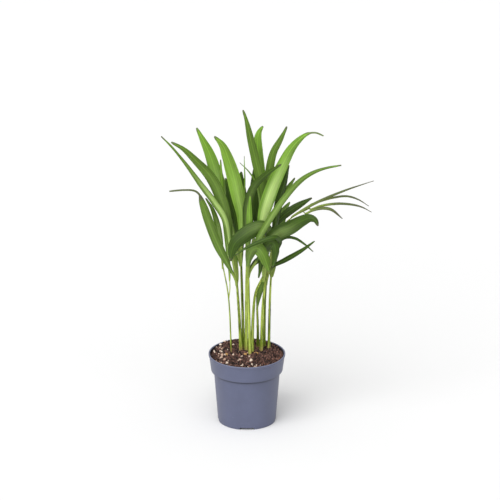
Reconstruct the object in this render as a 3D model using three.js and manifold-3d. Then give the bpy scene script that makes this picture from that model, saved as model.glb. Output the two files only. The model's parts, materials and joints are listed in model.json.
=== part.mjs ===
// Young feather palm in a round grower's pot. Millimetres, +Z up.
// The origin is on the standing surface, under the pot's centre. The front is -Y.
import * as THREE from "three";
import { mergeVertices } from "three/addons/utils/BufferGeometryUtils.js";
import Module from "manifold-3d";

// ---------------------------------------------------------------- sizes
const GAP = 0.3;
const WALL_GAP = 0.5;

const RIM_RADIUS = 60;
const RIM_TOP = 112;
const RIM_BEAD = 2.2;
const RIM_DEPTH = 3;
const COLLAR_BOTTOM = 84.5;
const COLLAR_RADIUS = 56;
const STEP_BOTTOM = 80.5;
const BODY_TOP_RADIUS = 51.5;
const BODY_BOTTOM_RADIUS = 45.3;
const BODY_BOTTOM = 3;
const WALL = 1;
const FOOT_RADIUS = 44;
const FOOT_WIDTH = 2;
const DRAIN_LIFT = 4;
const PAD_RADIUS = 12;
const FLOOR = 1.4;
const NOTCHES = 4;
const NOTCH_WIDTH = 22;
const NOTCH_HEIGHT = 3.5;
const NOTCH_DEPTH = 12;
const DRAIN_HOLES = 6;
const DRAIN_HOLE_RADIUS = 3.5;
const DRAIN_CIRCLE = 29;
const DRAIN_HOLE_SIDES = 16;
const RIM_CHAMFER = 0.6;
const STEP_WALL = 0.6;
const STEP_CLEARANCE = 1.5;
const POT_SIDES = 64;

const SOIL_EDGE = 105.5;
const SOIL_CROWN = 111;
const SOIL_BUMP = 1.1;
const SOIL_SIDES = 40;
const SOIL_RINGS = 6;
const ROOT_DEPTH = 96;

const LEAF_THICKNESS = 0.6;
const STALK_WIDTH = 2.8;
const LEAF_TIP = 0.7;
const LEAF_FOLD = 0.24;
const STALK_FOLD = 0.75;
const LEAF_LIFT = 0.42;
const CANE_SIDES = 8;

// ---------------------------------------------------------------- materials
const plastic = () => new THREE.MeshStandardMaterial({ color: 0x696c86, roughness: 0.5, metalness: 0 });
const peat = () => new THREE.MeshStandardMaterial({ color: 0x3a2419, roughness: 1, metalness: 0 });
const greenCane = () => new THREE.MeshStandardMaterial({ color: 0x8ba043, roughness: 0.5, metalness: 0 });
const paleLeaf = () => new THREE.MeshStandardMaterial({ color: 0x7cae3f, roughness: 0.45, metalness: 0 });
const deepLeaf = () => new THREE.MeshStandardMaterial({ color: 0x43722a, roughness: 0.45, metalness: 0 });
const husk = () => new THREE.MeshStandardMaterial({ color: 0xb98d52, roughness: 0.8, metalness: 0 });

// ---------------------------------------------------------------- solids
const wasm = await Module();
wasm.setup();

// One closed surface: shared vertices joined, and the empty triangles at a pole dropped.
function closed(geometry) {
  geometry.deleteAttribute("normal");
  geometry.deleteAttribute("uv");
  const joined = mergeVertices(geometry, 1e-4);
  const corners = joined.index.array;
  const kept = [];
  for (let i = 0; i < corners.length; i += 3) {
    const [a, b, c] = corners.slice(i, i + 3);
    if (a !== b && b !== c && c !== a) kept.push(a, b, c);
  }
  joined.setIndex(kept);
  joined.clearGroups();
  return joined;
}

function toSolid(geometry) {
  const joined = closed(geometry);
  return new wasm.Manifold(new wasm.Mesh({
    numProp: 3,
    vertProperties: new Float32Array(joined.attributes.position.array),
    triVerts: new Uint32Array(joined.index.array),
  }));
}

function fromSolid(solid) {
  const mesh = solid.getMesh();
  const geometry = new THREE.BufferGeometry();
  geometry.setAttribute("position", new THREE.BufferAttribute(mesh.vertProperties, 3));
  geometry.setIndex(new THREE.BufferAttribute(mesh.triVerts, 1));
  return geometry;
}

// A lathe turns about Y, so its geometry is stood up to turn about Z.
function turned(profile, sides) {
  const points = profile.map(([r, z]) => new THREE.Vector2(r, z));
  return new THREE.LatheGeometry(points, sides).rotateX(Math.PI / 2);
}

function uprightCylinder(radius, height, sides) {
  return new THREE.CylinderGeometry(radius, radius, height, sides).rotateX(Math.PI / 2);
}

function curveThrough(points) {
  return new THREE.CatmullRomCurve3(points.map((p) => new THREE.Vector3(...p)), false, "centripetal");
}

const group = new THREE.Group();
group.name = "potted_palm";

function addPiece(name, geometry, material) {
  const mesh = new THREE.Mesh(geometry, material);
  mesh.name = name;
  group.add(mesh);
}

// ---------------------------------------------------------------- canes
// Each cane is a round tapering shoot: its centre line, then its radius at the foot and the top.
const CANES = [
  ["cane_thin_left", [[-24, 9, ROOT_DEPTH], [-29, 6, 206], [-38, 0, 262]], 1.3, 0.9],
  ["cane_left_front", [[-9, 14, ROOT_DEPTH], [-12, 8, 170], [-16, 0, 234]], 2.7, 1.7],
  ["cane_left_back", [[-5, 21, ROOT_DEPTH], [-7, 18, 186], [-9, 15, 260]], 2.6, 1.7],
  ["cane_centre_back", [[-1, 10, ROOT_DEPTH], [-1, 8, 218], [0, 6, 266]], 2.6, 1.6],
  ["cane_centre_front", [[5, -3, ROOT_DEPTH], [3, -6, 195], [2, -8, 251]], 2.8, 1.6],
  ["cane_leaning", [[8, 7, ROOT_DEPTH], [10, 6, 177], [14, 2, 214], [25, -6, 243]], 2.7, 1.6],
  ["cane_young", [[17, 24, ROOT_DEPTH], [17, 23, 140], [16, 22, 178]], 2.4, 1.6],
  ["cane_right_front", [[22, 12, ROOT_DEPTH], [25, 8, 190], [30, 4, 239]], 2.6, 1.6],
  ["cane_right_back", [[27, 27, ROOT_DEPTH], [28, 27, 182], [30, 27, 223]], 2.3, 1.5],
  ["cane_far_right", [[34, 22, ROOT_DEPTH], [36, 20, 200], [38, 16, 242]], 2.3, 1.5],
];

// The side shoot leaves the thin cane part way up, and the stalk carries the feathered leaf.
const SHOOTS = [
  ["shoot_thin_left", [[-26.6, 6.4, 207], [-26.5, 6.5, 222], [-27, 6.5, 239]], 0.8, 0.7],
  ["stalk_feathered_leaf", [[32, 1, 241], [37, -3, 282], [47, -8, 318], [70, -13, 345], [98, -18, 363]], 1.2, 0.8],
];

function cane(points, footRadius, topRadius, grow = 0) {
  const curve = curveThrough(points);
  const steps = points.length * 3;
  const geometry = new THREE.CylinderGeometry(1, 1, 1, CANE_SIDES, steps);
  const position = geometry.attributes.position;
  for (let i = 0; i < position.count; i += 1) {
    const along = THREE.MathUtils.clamp(position.getY(i) + 0.5, 0, 1);
    const radius = THREE.MathUtils.lerp(footRadius, topRadius, along) + grow;
    const centre = curve.getPointAt(along);
    const tangent = curve.getTangentAt(along);
    const across = new THREE.Vector3(0, 1, 0).cross(tangent).normalize();
    const away = across.clone().cross(tangent);
    centre.addScaledVector(across, position.getX(i) * radius);
    centre.addScaledVector(away, position.getZ(i) * radius);
    position.setXYZ(i, centre.x, centre.y, centre.z);
  }
  return geometry;
}

// ---------------------------------------------------------------- leaves
// Each leaf is a narrow folded blade along its midrib points.
//   width  widest part          stalk  share of the length that stays a stalk
//   peak   where it is widest   point  how long it keeps its width before the tip
//   round  how blunt the tip is: small is blunt, 1 is a straight point
//   tail   share at the tip that is a dried thread
//   turn   degrees that the upper face turns from the front (-Y) towards +X, at foot and tip
const LEAVES = [
  // left side
  ["leaf_left_long", [[-17, -1, 236], [-26, -7, 295], [-34, -13, 343], [-49, -17, 371],
    [-69, -21, 401], [-93, -26, 438], [-113, -30, 466], [-132, -34, 488]],
    { width: 11.5, stalk: 0.12, point: 1.5, round: 1, turn: [10, 30] }],
  ["leaf_left_broad", [[-15, 2.6, 236], [-25, 2, 296], [-33, 0, 347], [-43, -3, 382],
    [-57, -5, 411], [-77, -6, 435], [-98, -5, 456], [-117, -4, 467]],
    { width: 19, stalk: 0.15, peak: 0.5, turn: [5, 10] }],
  ["leaf_left_upright", [[-12.4, 16.4, 262], [-25, 18, 315], [-36, 21, 361], [-47, 23, 400],
    [-58, 24, 437], [-69, 25, 461], [-78, 26, 479]],
    { width: 22, stalk: 0.1, peak: 0.55, turn: [-10, 5] }],
  ["leaf_left_inner", [[-9, 12.6, 262], [-8, 5, 317], [-8, -1, 349], [-14, -6, 382],
    [-22, -9, 418], [-30, -13, 447], [-38, -17, 468], [-50, -21, 483]],
    { width: 23, stalk: 0.12, peak: 0.55, point: 2.2, turn: [0, 15] }],
  ["leaf_left_folded", [[-17.5, -3.4, 236], [-29, -10, 264], [-45, -17, 301], [-59, -23, 342],
    [-69, -27, 375], [-74, -28, 390], [-81, -29, 396], [-98, -31, 398], [-120, -34, 397]],
    { width: 15, stalk: 0.04, peak: 0.35, point: 4, round: 0.5, tail: 0.24, turn: [0, 0] }],
  ["leaf_left_narrow", [[-38, 0, 263], [-40, -1, 292], [-46, -2, 330], [-54, -4, 357],
    [-64, -5, 374]], { width: 9.5, peak: 0.5, turn: [0, 10] }],
  ["leaf_inner_left", [[-27, 6.5, 240], [-32, 10, 315], [-36, 14, 352], [-38, 16, 388],
    [-41, 16, 430]], { width: 9, turn: [0, 20] }],
  ["leaf_inner_dark", [[-10, 15, 262], [-13, 12, 298], [-16, 11, 328], [-25, 11, 365],
    [-33, 9, 402]], { width: 13, stalk: 0.2, peak: 0.6, turn: [0, 10] }],
  // top
  ["leaf_tall", [[30, 5.4, 240.5], [27, 8, 299], [24, 11, 348], [20, 13, 398], [13, 16, 432],
    [5, 18, 466], [-1, 19, 494], [-6, 20, 511]],
    { width: 14.5, stalk: 0.3, peak: 0.66, turn: [10, -10] }],
  ["leaf_tall_back", [[31, 28.4, 224.5], [30, 30, 297], [26, 34, 347], [21, 38, 396],
    [17, 41, 433], [17, 43, 456], [20, 45, 467], [25, 46, 474]],
    { width: 17, stalk: 0.35, peak: 0.75, point: 2.6, turn: [0, 0] }],
  ["leaf_right_upright", [[29, 25.6, 224.5], [30, 25, 300], [30, 27, 358], [34, 29, 403],
    [41, 32, 436], [52, 35, 457], [62, 37, 477]],
    { width: 13.5, stalk: 0.3, peak: 0.7, point: 2.2, turn: [0, -15] }],
  ["leaf_crossing", [[0.4, 7.4, 267.5], [-1, 3, 301], [-1, -3, 337], [2, -12, 369], [11, -25, 401],
    [25, -40, 423], [39, -48, 438], [53, -55, 450]],
    { width: 14, stalk: 0.15, peak: 0.5, turn: [0, 10] }],
  ["leaf_centre_upright", [[0, 4.6, 267.5], [3, -4, 304], [4, -12, 330], [4, -19, 357],
    [5, -25, 386]], { width: 9.5, peak: 0.6, turn: [0, 0] }],
  ["leaf_centre_tall", [[-0.3, 12, 267.5], [2, 14, 300], [6, 17, 342], [10, 20, 378],
    [11, 23, 412]], { width: 15, stalk: 0.2, peak: 0.6, turn: [0, 0] }],
  ["spear_left", [[-9.4, 17.2, 262], [-6, 15, 316], [-5, 13, 356], [-3, 10, 394], [-4, 6, 440]],
    { width: 4, turn: [20, 40] }],
  ["spear_right", [[0.8, 9.4, 267.5], [8, 9, 293], [19, 6, 338], [19, 5, 371], [12, 3, 400],
    [2, 1, 417], [-11, -2, 432]], { width: 4.2, turn: [-20, -30] }],
  // right side
  ["leaf_arching", [[25.6, -7, 244.5], [22, -10, 296], [24, -14, 341], [31, -22, 373],
    [41, -28, 406], [53, -33, 436], [69, -38, 470], [83, -42, 488], [94, -45, 497],
    [106, -49, 500], [118, -52, 496]],
    { width: 22, stalk: 0.17, peak: 0.45, point: 2.2, tail: 0.07, turn: [0, 0] }],
  ["leaf_arching_back", [[33, 7.6, 241], [39, 6, 286], [45, 1, 335], [52, -5, 378], [59, -9, 405],
    [65, -13, 432]], { width: 14, stalk: 0.3, peak: 0.65, turn: [0, 20] }],
  ["leaf_right_short", [[36.4, 14.6, 243.5], [39, 12, 287], [44, 9, 332], [52, 4, 364],
    [62, -2, 387], [74, -8, 409]], { width: 11, stalk: 0.3, peak: 0.7, turn: [0, 0] }],
  ["leaf_right_slender", [[2, -9.4, 252.5], [6, -18, 279], [15, -31, 310], [28, -38, 339],
    [42, -38, 363], [62, -33, 391], [83, -31, 414], [103, -30, 427], [123, -29, 434],
    [146, -28, 438]],
    { width: 10.5, stalk: 0.06, peak: 0.3, point: 3, round: 0.9, turn: [0, -10] }],
  ["leaf_right_dark", [[38.6, 17.8, 243.5], [41, 17, 295], [47, 18, 324], [62, 20, 339],
    [81, 24, 351], [101, 27, 362]], { width: 13, stalk: 0.4, peak: 0.72, turn: [0, 0] }],
  ["leaflet_end_long", [[69, -17, 347], [87, -21, 361], [104, -23, 372], [129, -27, 386],
    [160, -32, 401], [196, -38, 416]], { width: 4.4, peak: 0.3, round: 1, turn: [0, 0] }],
  ["leaflet_end_upper", [[97, -15, 366], [112, -17, 373], [132, -21, 381], [154, -24, 385],
    [171, -26, 381], [189, -28, 370]], { width: 3.2, peak: 0.5, round: 0.8, turn: [0, 0] }],
  ["leaflet_end_lower", [[99, -21, 362], [115, -24, 369], [137, -28, 374], [157, -32, 375],
    [176, -35, 372], [193, -38, 364]], { width: 4, peak: 0.4, round: 0.8, turn: [0, 0] }],
  ["leaflet_end_short", [[91, -21, 355], [103, -24, 362], [117, -29, 367], [131, -33, 366],
    [148, -38, 353]], { width: 5.2, turn: [0, 0] }],
  ["leaf_right_hooked", [[27.6, -9.6, 244.5], [30, -15, 278], [35, -24, 308], [50, -26, 325],
    [67, -30, 335], [86, -36, 349], [97, -40, 355], [106, -44, 353], [110, -48, 345]],
    { width: 24, stalk: 0.2, peak: 0.5, point: 2.2, turn: [0, 0] }],
  // low, hanging in front
  ["leaf_low_curled", [[42.6, 17, 243.5], [47, 8, 275], [51, 0, 300], [61, -6, 309],
    [75, -10, 309], [89, -13, 301], [103, -16, 289]], { width: 5.5, stalk: 0.2, turn: [0, 0] }],
  ["leaf_low_right", [[38.4, 11.6, 243.5], [41, 3, 257], [58, -5, 270], [75, -12, 283],
    [90, -19, 296], [105, -24, 310]], { width: 8, turn: [0, 0] }],
  ["leaf_drooping_left", [[32.4, 4.2, 241], [32, -4, 287], [34, -14, 318], [23, -23, 332],
    [8, -28, 330], [-6, -32, 322], [-18, -36, 312], [-24, -38, 297], [-25, -40, 283]],
    { width: 25, stalk: 0.25, peak: 0.65, point: 2.4, turn: [0, -10] }],
  ["leaf_band_left", [[41.4, 14, 243.5], [42, 11, 262], [46, -4, 284], [49, -22, 300],
    [51, -36, 315], [45, -46, 325], [34, -50, 325], [19, -52, 320], [-1, -54, 311],
    [-17, -56, 300]], { width: 7.5, stalk: 0.2, peak: 0.6, turn: [0, 0] }],
  ["leaf_drooping_right", [[4.8, -8.6, 252.5], [16, -22, 277], [27, -31, 297], [35, -39, 312],
    [41, -43, 314], [45, -47, 304], [44, -48, 291], [40, -49, 277]],
    { width: 16, stalk: 0.2, peak: 0.6, turn: [0, 20] }],
  ["leaf_drooping_front", [[1.2, -12, 252.5], [3, -28, 280], [9, -39, 301], [17, -46, 307],
    [25, -51, 299], [30, -54, 287], [35, -55, 271]],
    { width: 20, stalk: 0.1, peak: 0.6, point: 2.2, turn: [0, 15] }],
  ["leaf_low_small", [[3.6, -5.4, 252.5], [15, -13, 272], [21, -19, 276], [21, -25, 265],
    [18, -28, 250]], { width: 9, turn: [0, 0] }],
  ["leaf_young_strap", [[16, 22, 179.5], [19, 15, 205], [27, 10, 233], [32, 9, 255]],
    { width: 9.5, turn: [-10, 10] }],
  // behind
  ["leaf_back_left", [[-8.2, 19.4, 262], [-10, 26, 317], [-9, 34, 355], [-9, 44, 399]],
    { width: 20, peak: 0.6, turn: [0, 0] }],
  ["leaf_back_centre", [[29, 30.8, 224.5], [24, 41, 299], [16, 50, 339], [9, 60, 372]],
    { width: 22, stalk: 0.3, peak: 0.65, turn: [10, -10] }],
  ["leaf_back_right", [[39, 20.6, 243.5], [48, 38, 296], [58, 56, 328], [67, 72, 337]],
    { width: 16, stalk: 0.2, peak: 0.6, turn: [0, 10] }],
  ["leaf_back_far_left", [[-14.6, 4.6, 236], [-20, 28, 288], [-30, 48, 318], [-42, 66, 327]],
    { width: 16, stalk: 0.2, peak: 0.6, turn: [0, -10] }],
  ["leaf_back_low", [[31, 33.4, 224.5], [25, 50, 276], [18, 72, 306], [12, 92, 314]],
    { width: 14, stalk: 0.2, peak: 0.6, turn: [10, 0] }],
];

const PALE = ["leaf_left_upright", "leaf_left_inner", "leaf_tall_back", "leaf_arching", "leaf_centre_upright"];

// Full width of a blade at a share of its length.
function widthAt(along, { width, stalk = 0, peak = 0.45, point = 1.8, round = 0.6, tail = 0 }) {
  const end = 1 - tail;
  if (along <= stalk) return STALK_WIDTH;
  if (along <= peak) {
    const rise = Math.sin(((along - stalk) / (peak - stalk)) * (Math.PI / 2));
    return STALK_WIDTH + (width - STALK_WIDTH) * rise;
  }
  const thread = tail > 0 ? 2 * LEAF_TIP * (1 + 1 - along) : LEAF_TIP;
  const fall = Math.min(1, (along - peak) / (end - peak));
  return Math.max(thread, width * (1 - fall ** point) ** round);
}

function blade(points, shape) {
  const curve = curveThrough(points);
  const steps = Math.max(8, points.length * 2);
  const geometry = new THREE.BoxGeometry(1, 1, 1, 2, steps, 1);
  const position = geometry.attributes.position;
  for (let i = 0; i < position.count; i += 1) {
    const along = THREE.MathUtils.clamp(position.getY(i) + 0.5, 0, 1);
    const span = widthAt(along, shape);
    const broad = THREE.MathUtils.clamp(span / shape.width, 0, 1);
    const fold = THREE.MathUtils.lerp(STALK_FOLD, LEAF_FOLD, broad);
    const turn = THREE.MathUtils.degToRad(THREE.MathUtils.lerp(shape.turn[0], shape.turn[1], along));
    const face = new THREE.Vector3(Math.sin(turn), -Math.cos(turn), LEAF_LIFT).normalize();
    const tangent = curve.getTangentAt(along);
    const side = tangent.clone().cross(face).normalize();
    const normal = side.clone().cross(tangent);
    const half = position.getX(i) * span;
    const centre = curve.getPointAt(along);
    centre.addScaledVector(side, half * Math.cos(fold));
    centre.addScaledVector(normal, -Math.abs(half) * Math.sin(fold) + position.getZ(i) * LEAF_THICKNESS);
    position.setXYZ(i, centre.x, centre.y, centre.z);
  }
  return closed(geometry);
}

// ---------------------------------------------------------------- seed husks
// Half-buried split seed shells at the feet of the canes: centre, then length and turn.
const HUSKS = [
  ["seed_husk_left", [-31, 0, 108.6], 11, 40],
  ["seed_husk_middle", [-3, -4, 111.2], 9, -20],
  ["seed_husk_right", [14, 0, 111], 9, 15],
];

function huskShape([x, y, z], length, turn, grow = 0) {
  const geometry = new THREE.SphereGeometry(1, 12, 8).rotateX(Math.PI / 2);
  geometry.scale(length / 2 + grow, length * 0.3 + grow, length * 0.26 + grow);
  geometry.rotateZ(THREE.MathUtils.degToRad(turn));
  return geometry.translate(x, y, z);
}

// ---------------------------------------------------------------- pot
// Thin moulded shell: standing pad, raised drain channel, foot ring, tapering body, stepped
// collar and a beaded rim, then back down the inside to the floor.
function potShell() {
  const innerFloor = DRAIN_LIFT + FLOOR;
  return turned([
    [0, 0],
    [PAD_RADIUS, 0],
    [PAD_RADIUS + 2, DRAIN_LIFT],
    [FOOT_RADIUS - FOOT_WIDTH - 0.5, DRAIN_LIFT],
    [FOOT_RADIUS - FOOT_WIDTH, 0],
    [FOOT_RADIUS + 0.4, 0],
    [BODY_BOTTOM_RADIUS - 0.2, BODY_BOTTOM / 3],
    [BODY_BOTTOM_RADIUS, BODY_BOTTOM],
    [BODY_TOP_RADIUS, STEP_BOTTOM],
    [COLLAR_RADIUS, COLLAR_BOTTOM],
    [RIM_RADIUS - 0.8, RIM_TOP - RIM_DEPTH - 0.8],
    [RIM_RADIUS, RIM_TOP - RIM_DEPTH],
    [RIM_RADIUS, RIM_TOP - RIM_CHAMFER],
    [RIM_RADIUS - RIM_CHAMFER, RIM_TOP],
    [RIM_RADIUS - RIM_BEAD, RIM_TOP],
    [RIM_RADIUS - RIM_BEAD, RIM_TOP - RIM_DEPTH],
    [COLLAR_RADIUS - WALL, COLLAR_BOTTOM + 1],
    [BODY_TOP_RADIUS - WALL, STEP_BOTTOM + STEP_WALL],
    [BODY_BOTTOM_RADIUS - WALL, innerFloor],
    [PAD_RADIUS + 1.4, innerFloor],
    [PAD_RADIUS - 0.4, FLOOR],
    [0, FLOOR],
  ], POT_SIDES);
}

function buildPot() {
  let pot = toSolid(potShell());
  for (let i = 0; i < NOTCHES; i += 1) {
    const angle = (i * 2 * Math.PI) / NOTCHES - Math.PI / 2;
    const notch = new THREE.BoxGeometry(NOTCH_DEPTH, NOTCH_WIDTH, 2 * NOTCH_HEIGHT);
    notch.translate(FOOT_RADIUS, 0, 0).rotateZ(angle);
    pot = pot.subtract(toSolid(notch));
  }
  for (let i = 0; i < DRAIN_HOLES; i += 1) {
    const angle = ((i + 0.5) * 2 * Math.PI) / DRAIN_HOLES;
    const hole = uprightCylinder(DRAIN_HOLE_RADIUS, 3 * DRAIN_LIFT, DRAIN_HOLE_SIDES);
    hole.translate(DRAIN_CIRCLE * Math.cos(angle), DRAIN_CIRCLE * Math.sin(angle), DRAIN_LIFT);
    pot = pot.subtract(toSolid(hole));
  }
  return fromSolid(pot);
}

// ---------------------------------------------------------------- soil
// Inside radius of the pot's wall at a height.
function wallInside(z) {
  if (z >= COLLAR_BOTTOM + 1) {
    const t = (z - COLLAR_BOTTOM - 1) / (RIM_TOP - RIM_DEPTH - COLLAR_BOTTOM - 1);
    return THREE.MathUtils.lerp(COLLAR_RADIUS - WALL, RIM_RADIUS - RIM_BEAD, t);
  }
  const foot = DRAIN_LIFT + FLOOR;
  const t = (z - foot) / (STEP_BOTTOM + STEP_WALL - foot);
  return THREE.MathUtils.lerp(BODY_BOTTOM_RADIUS - WALL, BODY_TOP_RADIUS - WALL, Math.min(1, t));
}

// Gentle lumps on the soil's surface.
function lump(x, y) {
  return Math.sin(x * 0.21 + 0.7) * Math.cos(y * 0.19 - 0.4) + 0.5 * Math.sin((x + y) * 0.43);
}

function soilBlock() {
  const bottom = DRAIN_LIFT + FLOOR + GAP;
  const edge = wallInside(SOIL_EDGE) - WALL_GAP;
  const profile = [
    [0, bottom],
    [wallInside(bottom) - WALL_GAP, bottom],
    [BODY_TOP_RADIUS - WALL - WALL_GAP, STEP_BOTTOM + 1],
    [COLLAR_RADIUS - WALL - WALL_GAP, COLLAR_BOTTOM + STEP_CLEARANCE],
    [edge, SOIL_EDGE],
  ];
  for (let i = 1; i <= SOIL_RINGS; i += 1) {
    const share = i / SOIL_RINGS;
    const rise = Math.sin((share * Math.PI) / 2);
    profile.push([edge * (1 - share), THREE.MathUtils.lerp(SOIL_EDGE, SOIL_CROWN, rise)]);
  }
  const geometry = turned(profile, SOIL_SIDES);
  const position = geometry.attributes.position;
  for (let i = 0; i < position.count; i += 1) {
    const [x, y, z] = [position.getX(i), position.getY(i), position.getZ(i)];
    if (z > SOIL_EDGE + 0.01) position.setZ(i, z + SOIL_BUMP * lump(x, y));
  }
  return toSolid(geometry);
}

function buildSoil() {
  let soil = soilBlock();
  for (const [, [foot, ...rest], footRadius, topRadius] of CANES) {
    const deeper = [foot[0], foot[1], foot[2] - GAP];
    soil = soil.subtract(toSolid(cane([deeper, ...rest], footRadius, topRadius, GAP)));
  }
  for (const [, centre, length, turn] of HUSKS) {
    soil = soil.subtract(toSolid(huskShape(centre, length, turn, GAP)));
  }
  return fromSolid(soil);
}

// ---------------------------------------------------------------- assembly
addPiece("pot", buildPot(), plastic());
addPiece("soil", buildSoil(), peat());
for (const [name, points, footRadius, topRadius] of [...CANES, ...SHOOTS]) {
  addPiece(name, closed(cane(points, footRadius, topRadius)), greenCane());
}
for (const [name, points, shape] of LEAVES) {
  addPiece(name, blade(points, shape), PALE.includes(name) ? paleLeaf() : deepLeaf());
}
for (const [name, centre, length, turn] of HUSKS) {
  addPiece(name, closed(huskShape(centre, length, turn)), husk());
}

export default group;
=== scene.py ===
"""Young feather palm in a round grower's pot: canes, folded leaves, soil and pot."""

import json
import math
import random

import bmesh
import bpy
from bpy.props import FloatProperty, FloatVectorProperty, IntProperty, PointerProperty
from mathutils import Matrix, Vector, noise

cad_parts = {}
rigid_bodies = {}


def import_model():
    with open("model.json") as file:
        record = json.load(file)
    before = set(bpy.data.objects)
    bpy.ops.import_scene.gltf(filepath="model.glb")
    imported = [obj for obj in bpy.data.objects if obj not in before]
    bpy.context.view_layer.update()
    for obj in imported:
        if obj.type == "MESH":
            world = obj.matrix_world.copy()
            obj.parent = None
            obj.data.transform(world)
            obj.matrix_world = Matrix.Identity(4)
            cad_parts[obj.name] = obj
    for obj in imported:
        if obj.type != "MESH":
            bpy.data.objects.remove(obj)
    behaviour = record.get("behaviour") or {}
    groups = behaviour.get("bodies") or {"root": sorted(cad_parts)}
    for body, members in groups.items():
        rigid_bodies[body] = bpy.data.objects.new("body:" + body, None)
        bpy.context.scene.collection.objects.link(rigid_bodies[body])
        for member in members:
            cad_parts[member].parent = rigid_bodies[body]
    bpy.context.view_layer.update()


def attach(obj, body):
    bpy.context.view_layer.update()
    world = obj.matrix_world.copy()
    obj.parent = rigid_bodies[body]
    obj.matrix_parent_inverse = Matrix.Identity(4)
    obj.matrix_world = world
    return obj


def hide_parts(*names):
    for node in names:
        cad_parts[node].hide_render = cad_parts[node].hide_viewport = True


bl_info = {
    "name": "Potted feather palm",
    "version": (1, 0, 0),
    "blender": (4, 5, 0),
    "location": "View3D > Sidebar > Palm",
    "description": "Builds a young palm with its canes, leaves, soil and pot",
    "category": "Object",
}

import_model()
MM = 0.001
FINE_STEPS = 24         # short steps between two given points of a path
POT_SIDES = 160
FOOT_RADIUS = 44 * MM
PAD_RISE = 4 * MM       # how far the drain channel lies above the table
POT_FLOOR = 1.4 * MM
DRAIN_HOLES = 6
DRAIN_CIRCLE = 29 * MM
SOIL_GAP = 0.6 * MM     # space between the soil block and the wall
CANE_STEPS = 90
MIDRIB_STEPS = 120
MIDRIB_LINE = 0.0006    # half width of the pale line along a midrib

# ------------------------------------------------------------------ user settings


def linear(red, green, blue):
    """Linear colour from display values of 0 to 255."""
    def one(value):
        value /= 255
        return value / 12.92 if value <= 0.04045 else ((value + 0.055) / 1.055) ** 2.4
    return one(red), one(green), one(blue)


def length(name, description, default):
    return FloatProperty(name=name, description=description, default=default,
                         subtype="DISTANCE", unit="LENGTH")


def colour(name, description, default):
    return FloatVectorProperty(name=name, description=description, default=default, size=3,
                               subtype="COLOR", min=0, max=1)


def number(name, description, default):
    return FloatProperty(name=name, description=description, default=default)


def count(name, description, default):
    return IntProperty(name=name, description=description, default=default, min=0)


class PotSettings(bpy.types.PropertyGroup):
    rim_radius: length("Rim radius", "Outside radius of the rim", 60 * MM)
    rim_top: length("Rim height", "Height of the rim above the table", 112 * MM)
    collar_bottom: length("Collar foot", "Height where the collar ends and the step starts", 84.5 * MM)
    step_bottom: length("Step foot", "Height where the step meets the body", 80.5 * MM)
    collar_radius: length("Collar radius", "Radius at the collar's foot", 56 * MM)
    body_top: length("Body top radius", "Radius just under the step", 51.5 * MM)
    body_foot: length("Body foot radius", "Radius near the table", 45.3 * MM)
    wall: length("Wall", "Thickness of the moulded wall", 1.0 * MM)
    notch_width: length("Notch width", "Width of each foot notch", 22 * MM)
    notch_height: length("Notch height", "Height of each foot notch", 3.5 * MM)
    outside: colour("Outside", "Colour of the pot's outer skin", linear(86, 91, 116))
    inside: colour("Inside", "Colour of the pot's inner skin", linear(34, 33, 38))


class SoilSettings(bpy.types.PropertyGroup):
    edge: length("Edge height", "Height of the soil at the wall", 105.5 * MM)
    crown: length("Crown height", "Height of the soil in the middle", 111 * MM)
    lump: length("Lumps", "Height of the lumps in the surface", 1.6 * MM)
    crumbs: number("Crumbs", "Peat crumbs per square metre", 250000)
    perlite: number("White grains", "Perlite grains per square metre", 17000)
    bark: number("Bark chips", "Bark chips per square metre", 30000)
    fibres: number("Fibres", "Coconut fibres per square metre", 34000)
    peat: colour("Peat", "Colour of damp peat", linear(54, 36, 30))
    white: colour("White grain", "Colour of perlite", linear(228, 214, 192))
    chip: colour("Bark", "Colour of the bark chips", linear(112, 66, 50))
    fibre: colour("Fibre", "Colour of the coconut fibre", linear(150, 102, 74))
    husk: colour("Husk", "Colour of the dry seed shells", linear(214, 166, 100))


class CaneSettings(bpy.types.PropertyGroup):
    sides: count("Sides", "Sides of a cane's round section", 20)
    ridge: length("Ridges", "Depth of the long ridges in the skin", 0.07 * MM)
    green: colour("Green", "Main colour of the canes", linear(126, 152, 30))
    shade: colour("Dark streak", "Colour of the dark streaks", linear(62, 78, 10))
    pale: colour("Pale streak", "Colour of the pale streaks", linear(204, 220, 112))
    foot: colour("Foot", "Colour where a cane leaves the soil", linear(196, 170, 112))


class LeafSettings(bpy.types.PropertyGroup):
    thickness: length("Blade thickness", "Thickness of a leaf blade", 0.42 * MM)
    stalk_thickness: length("Stalk thickness", "Thickness of a leaf's stalk", 1.5 * MM)
    stalk_width: length("Stalk width", "Width of a leaf's stalk", 2.8 * MM)
    fold: number("Fold", "Angle that each half leans back from flat, in radians", 0.34)
    stalk_fold: number("Stalk fold", "The same angle at the stalk, in radians", 0.8)
    lift: number("Face lift", "How far the upper faces look up", 0.42)
    rib_gap: length("Rib gap", "Distance between the raised ribs", 3.4 * MM)
    rib: length("Rib height", "Height of the raised ribs", 0.16 * MM)
    wave: length("Edge wave", "How far the edges wave", 1.6 * MM)
    vein_gap: length("Vein gap", "Distance between the fine veins", 0.8 * MM)
    # The bright and deep colours are partly painted light: bright stands in for sunlit leaves, deep for
    # leaves in the shade inside the clump.
    bright: colour("Bright leaf", "Colour of the sunlit young leaves", linear(112, 152, 48))
    middle: colour("Middle leaf", "Colour of the ordinary leaves", linear(86, 115, 36))
    deep: colour("Deep leaf", "Colour of the old shaded leaves", linear(54, 79, 14))
    olive: colour("Olive leaf", "Colour of the thin drying leaflets", linear(74, 84, 46))
    pale: colour("Pale part", "Colour of midribs, stalks and pale bands", linear(184, 212, 126))
    dry: colour("Dry tip", "Colour of the withered tips", linear(80, 74, 62))


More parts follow.
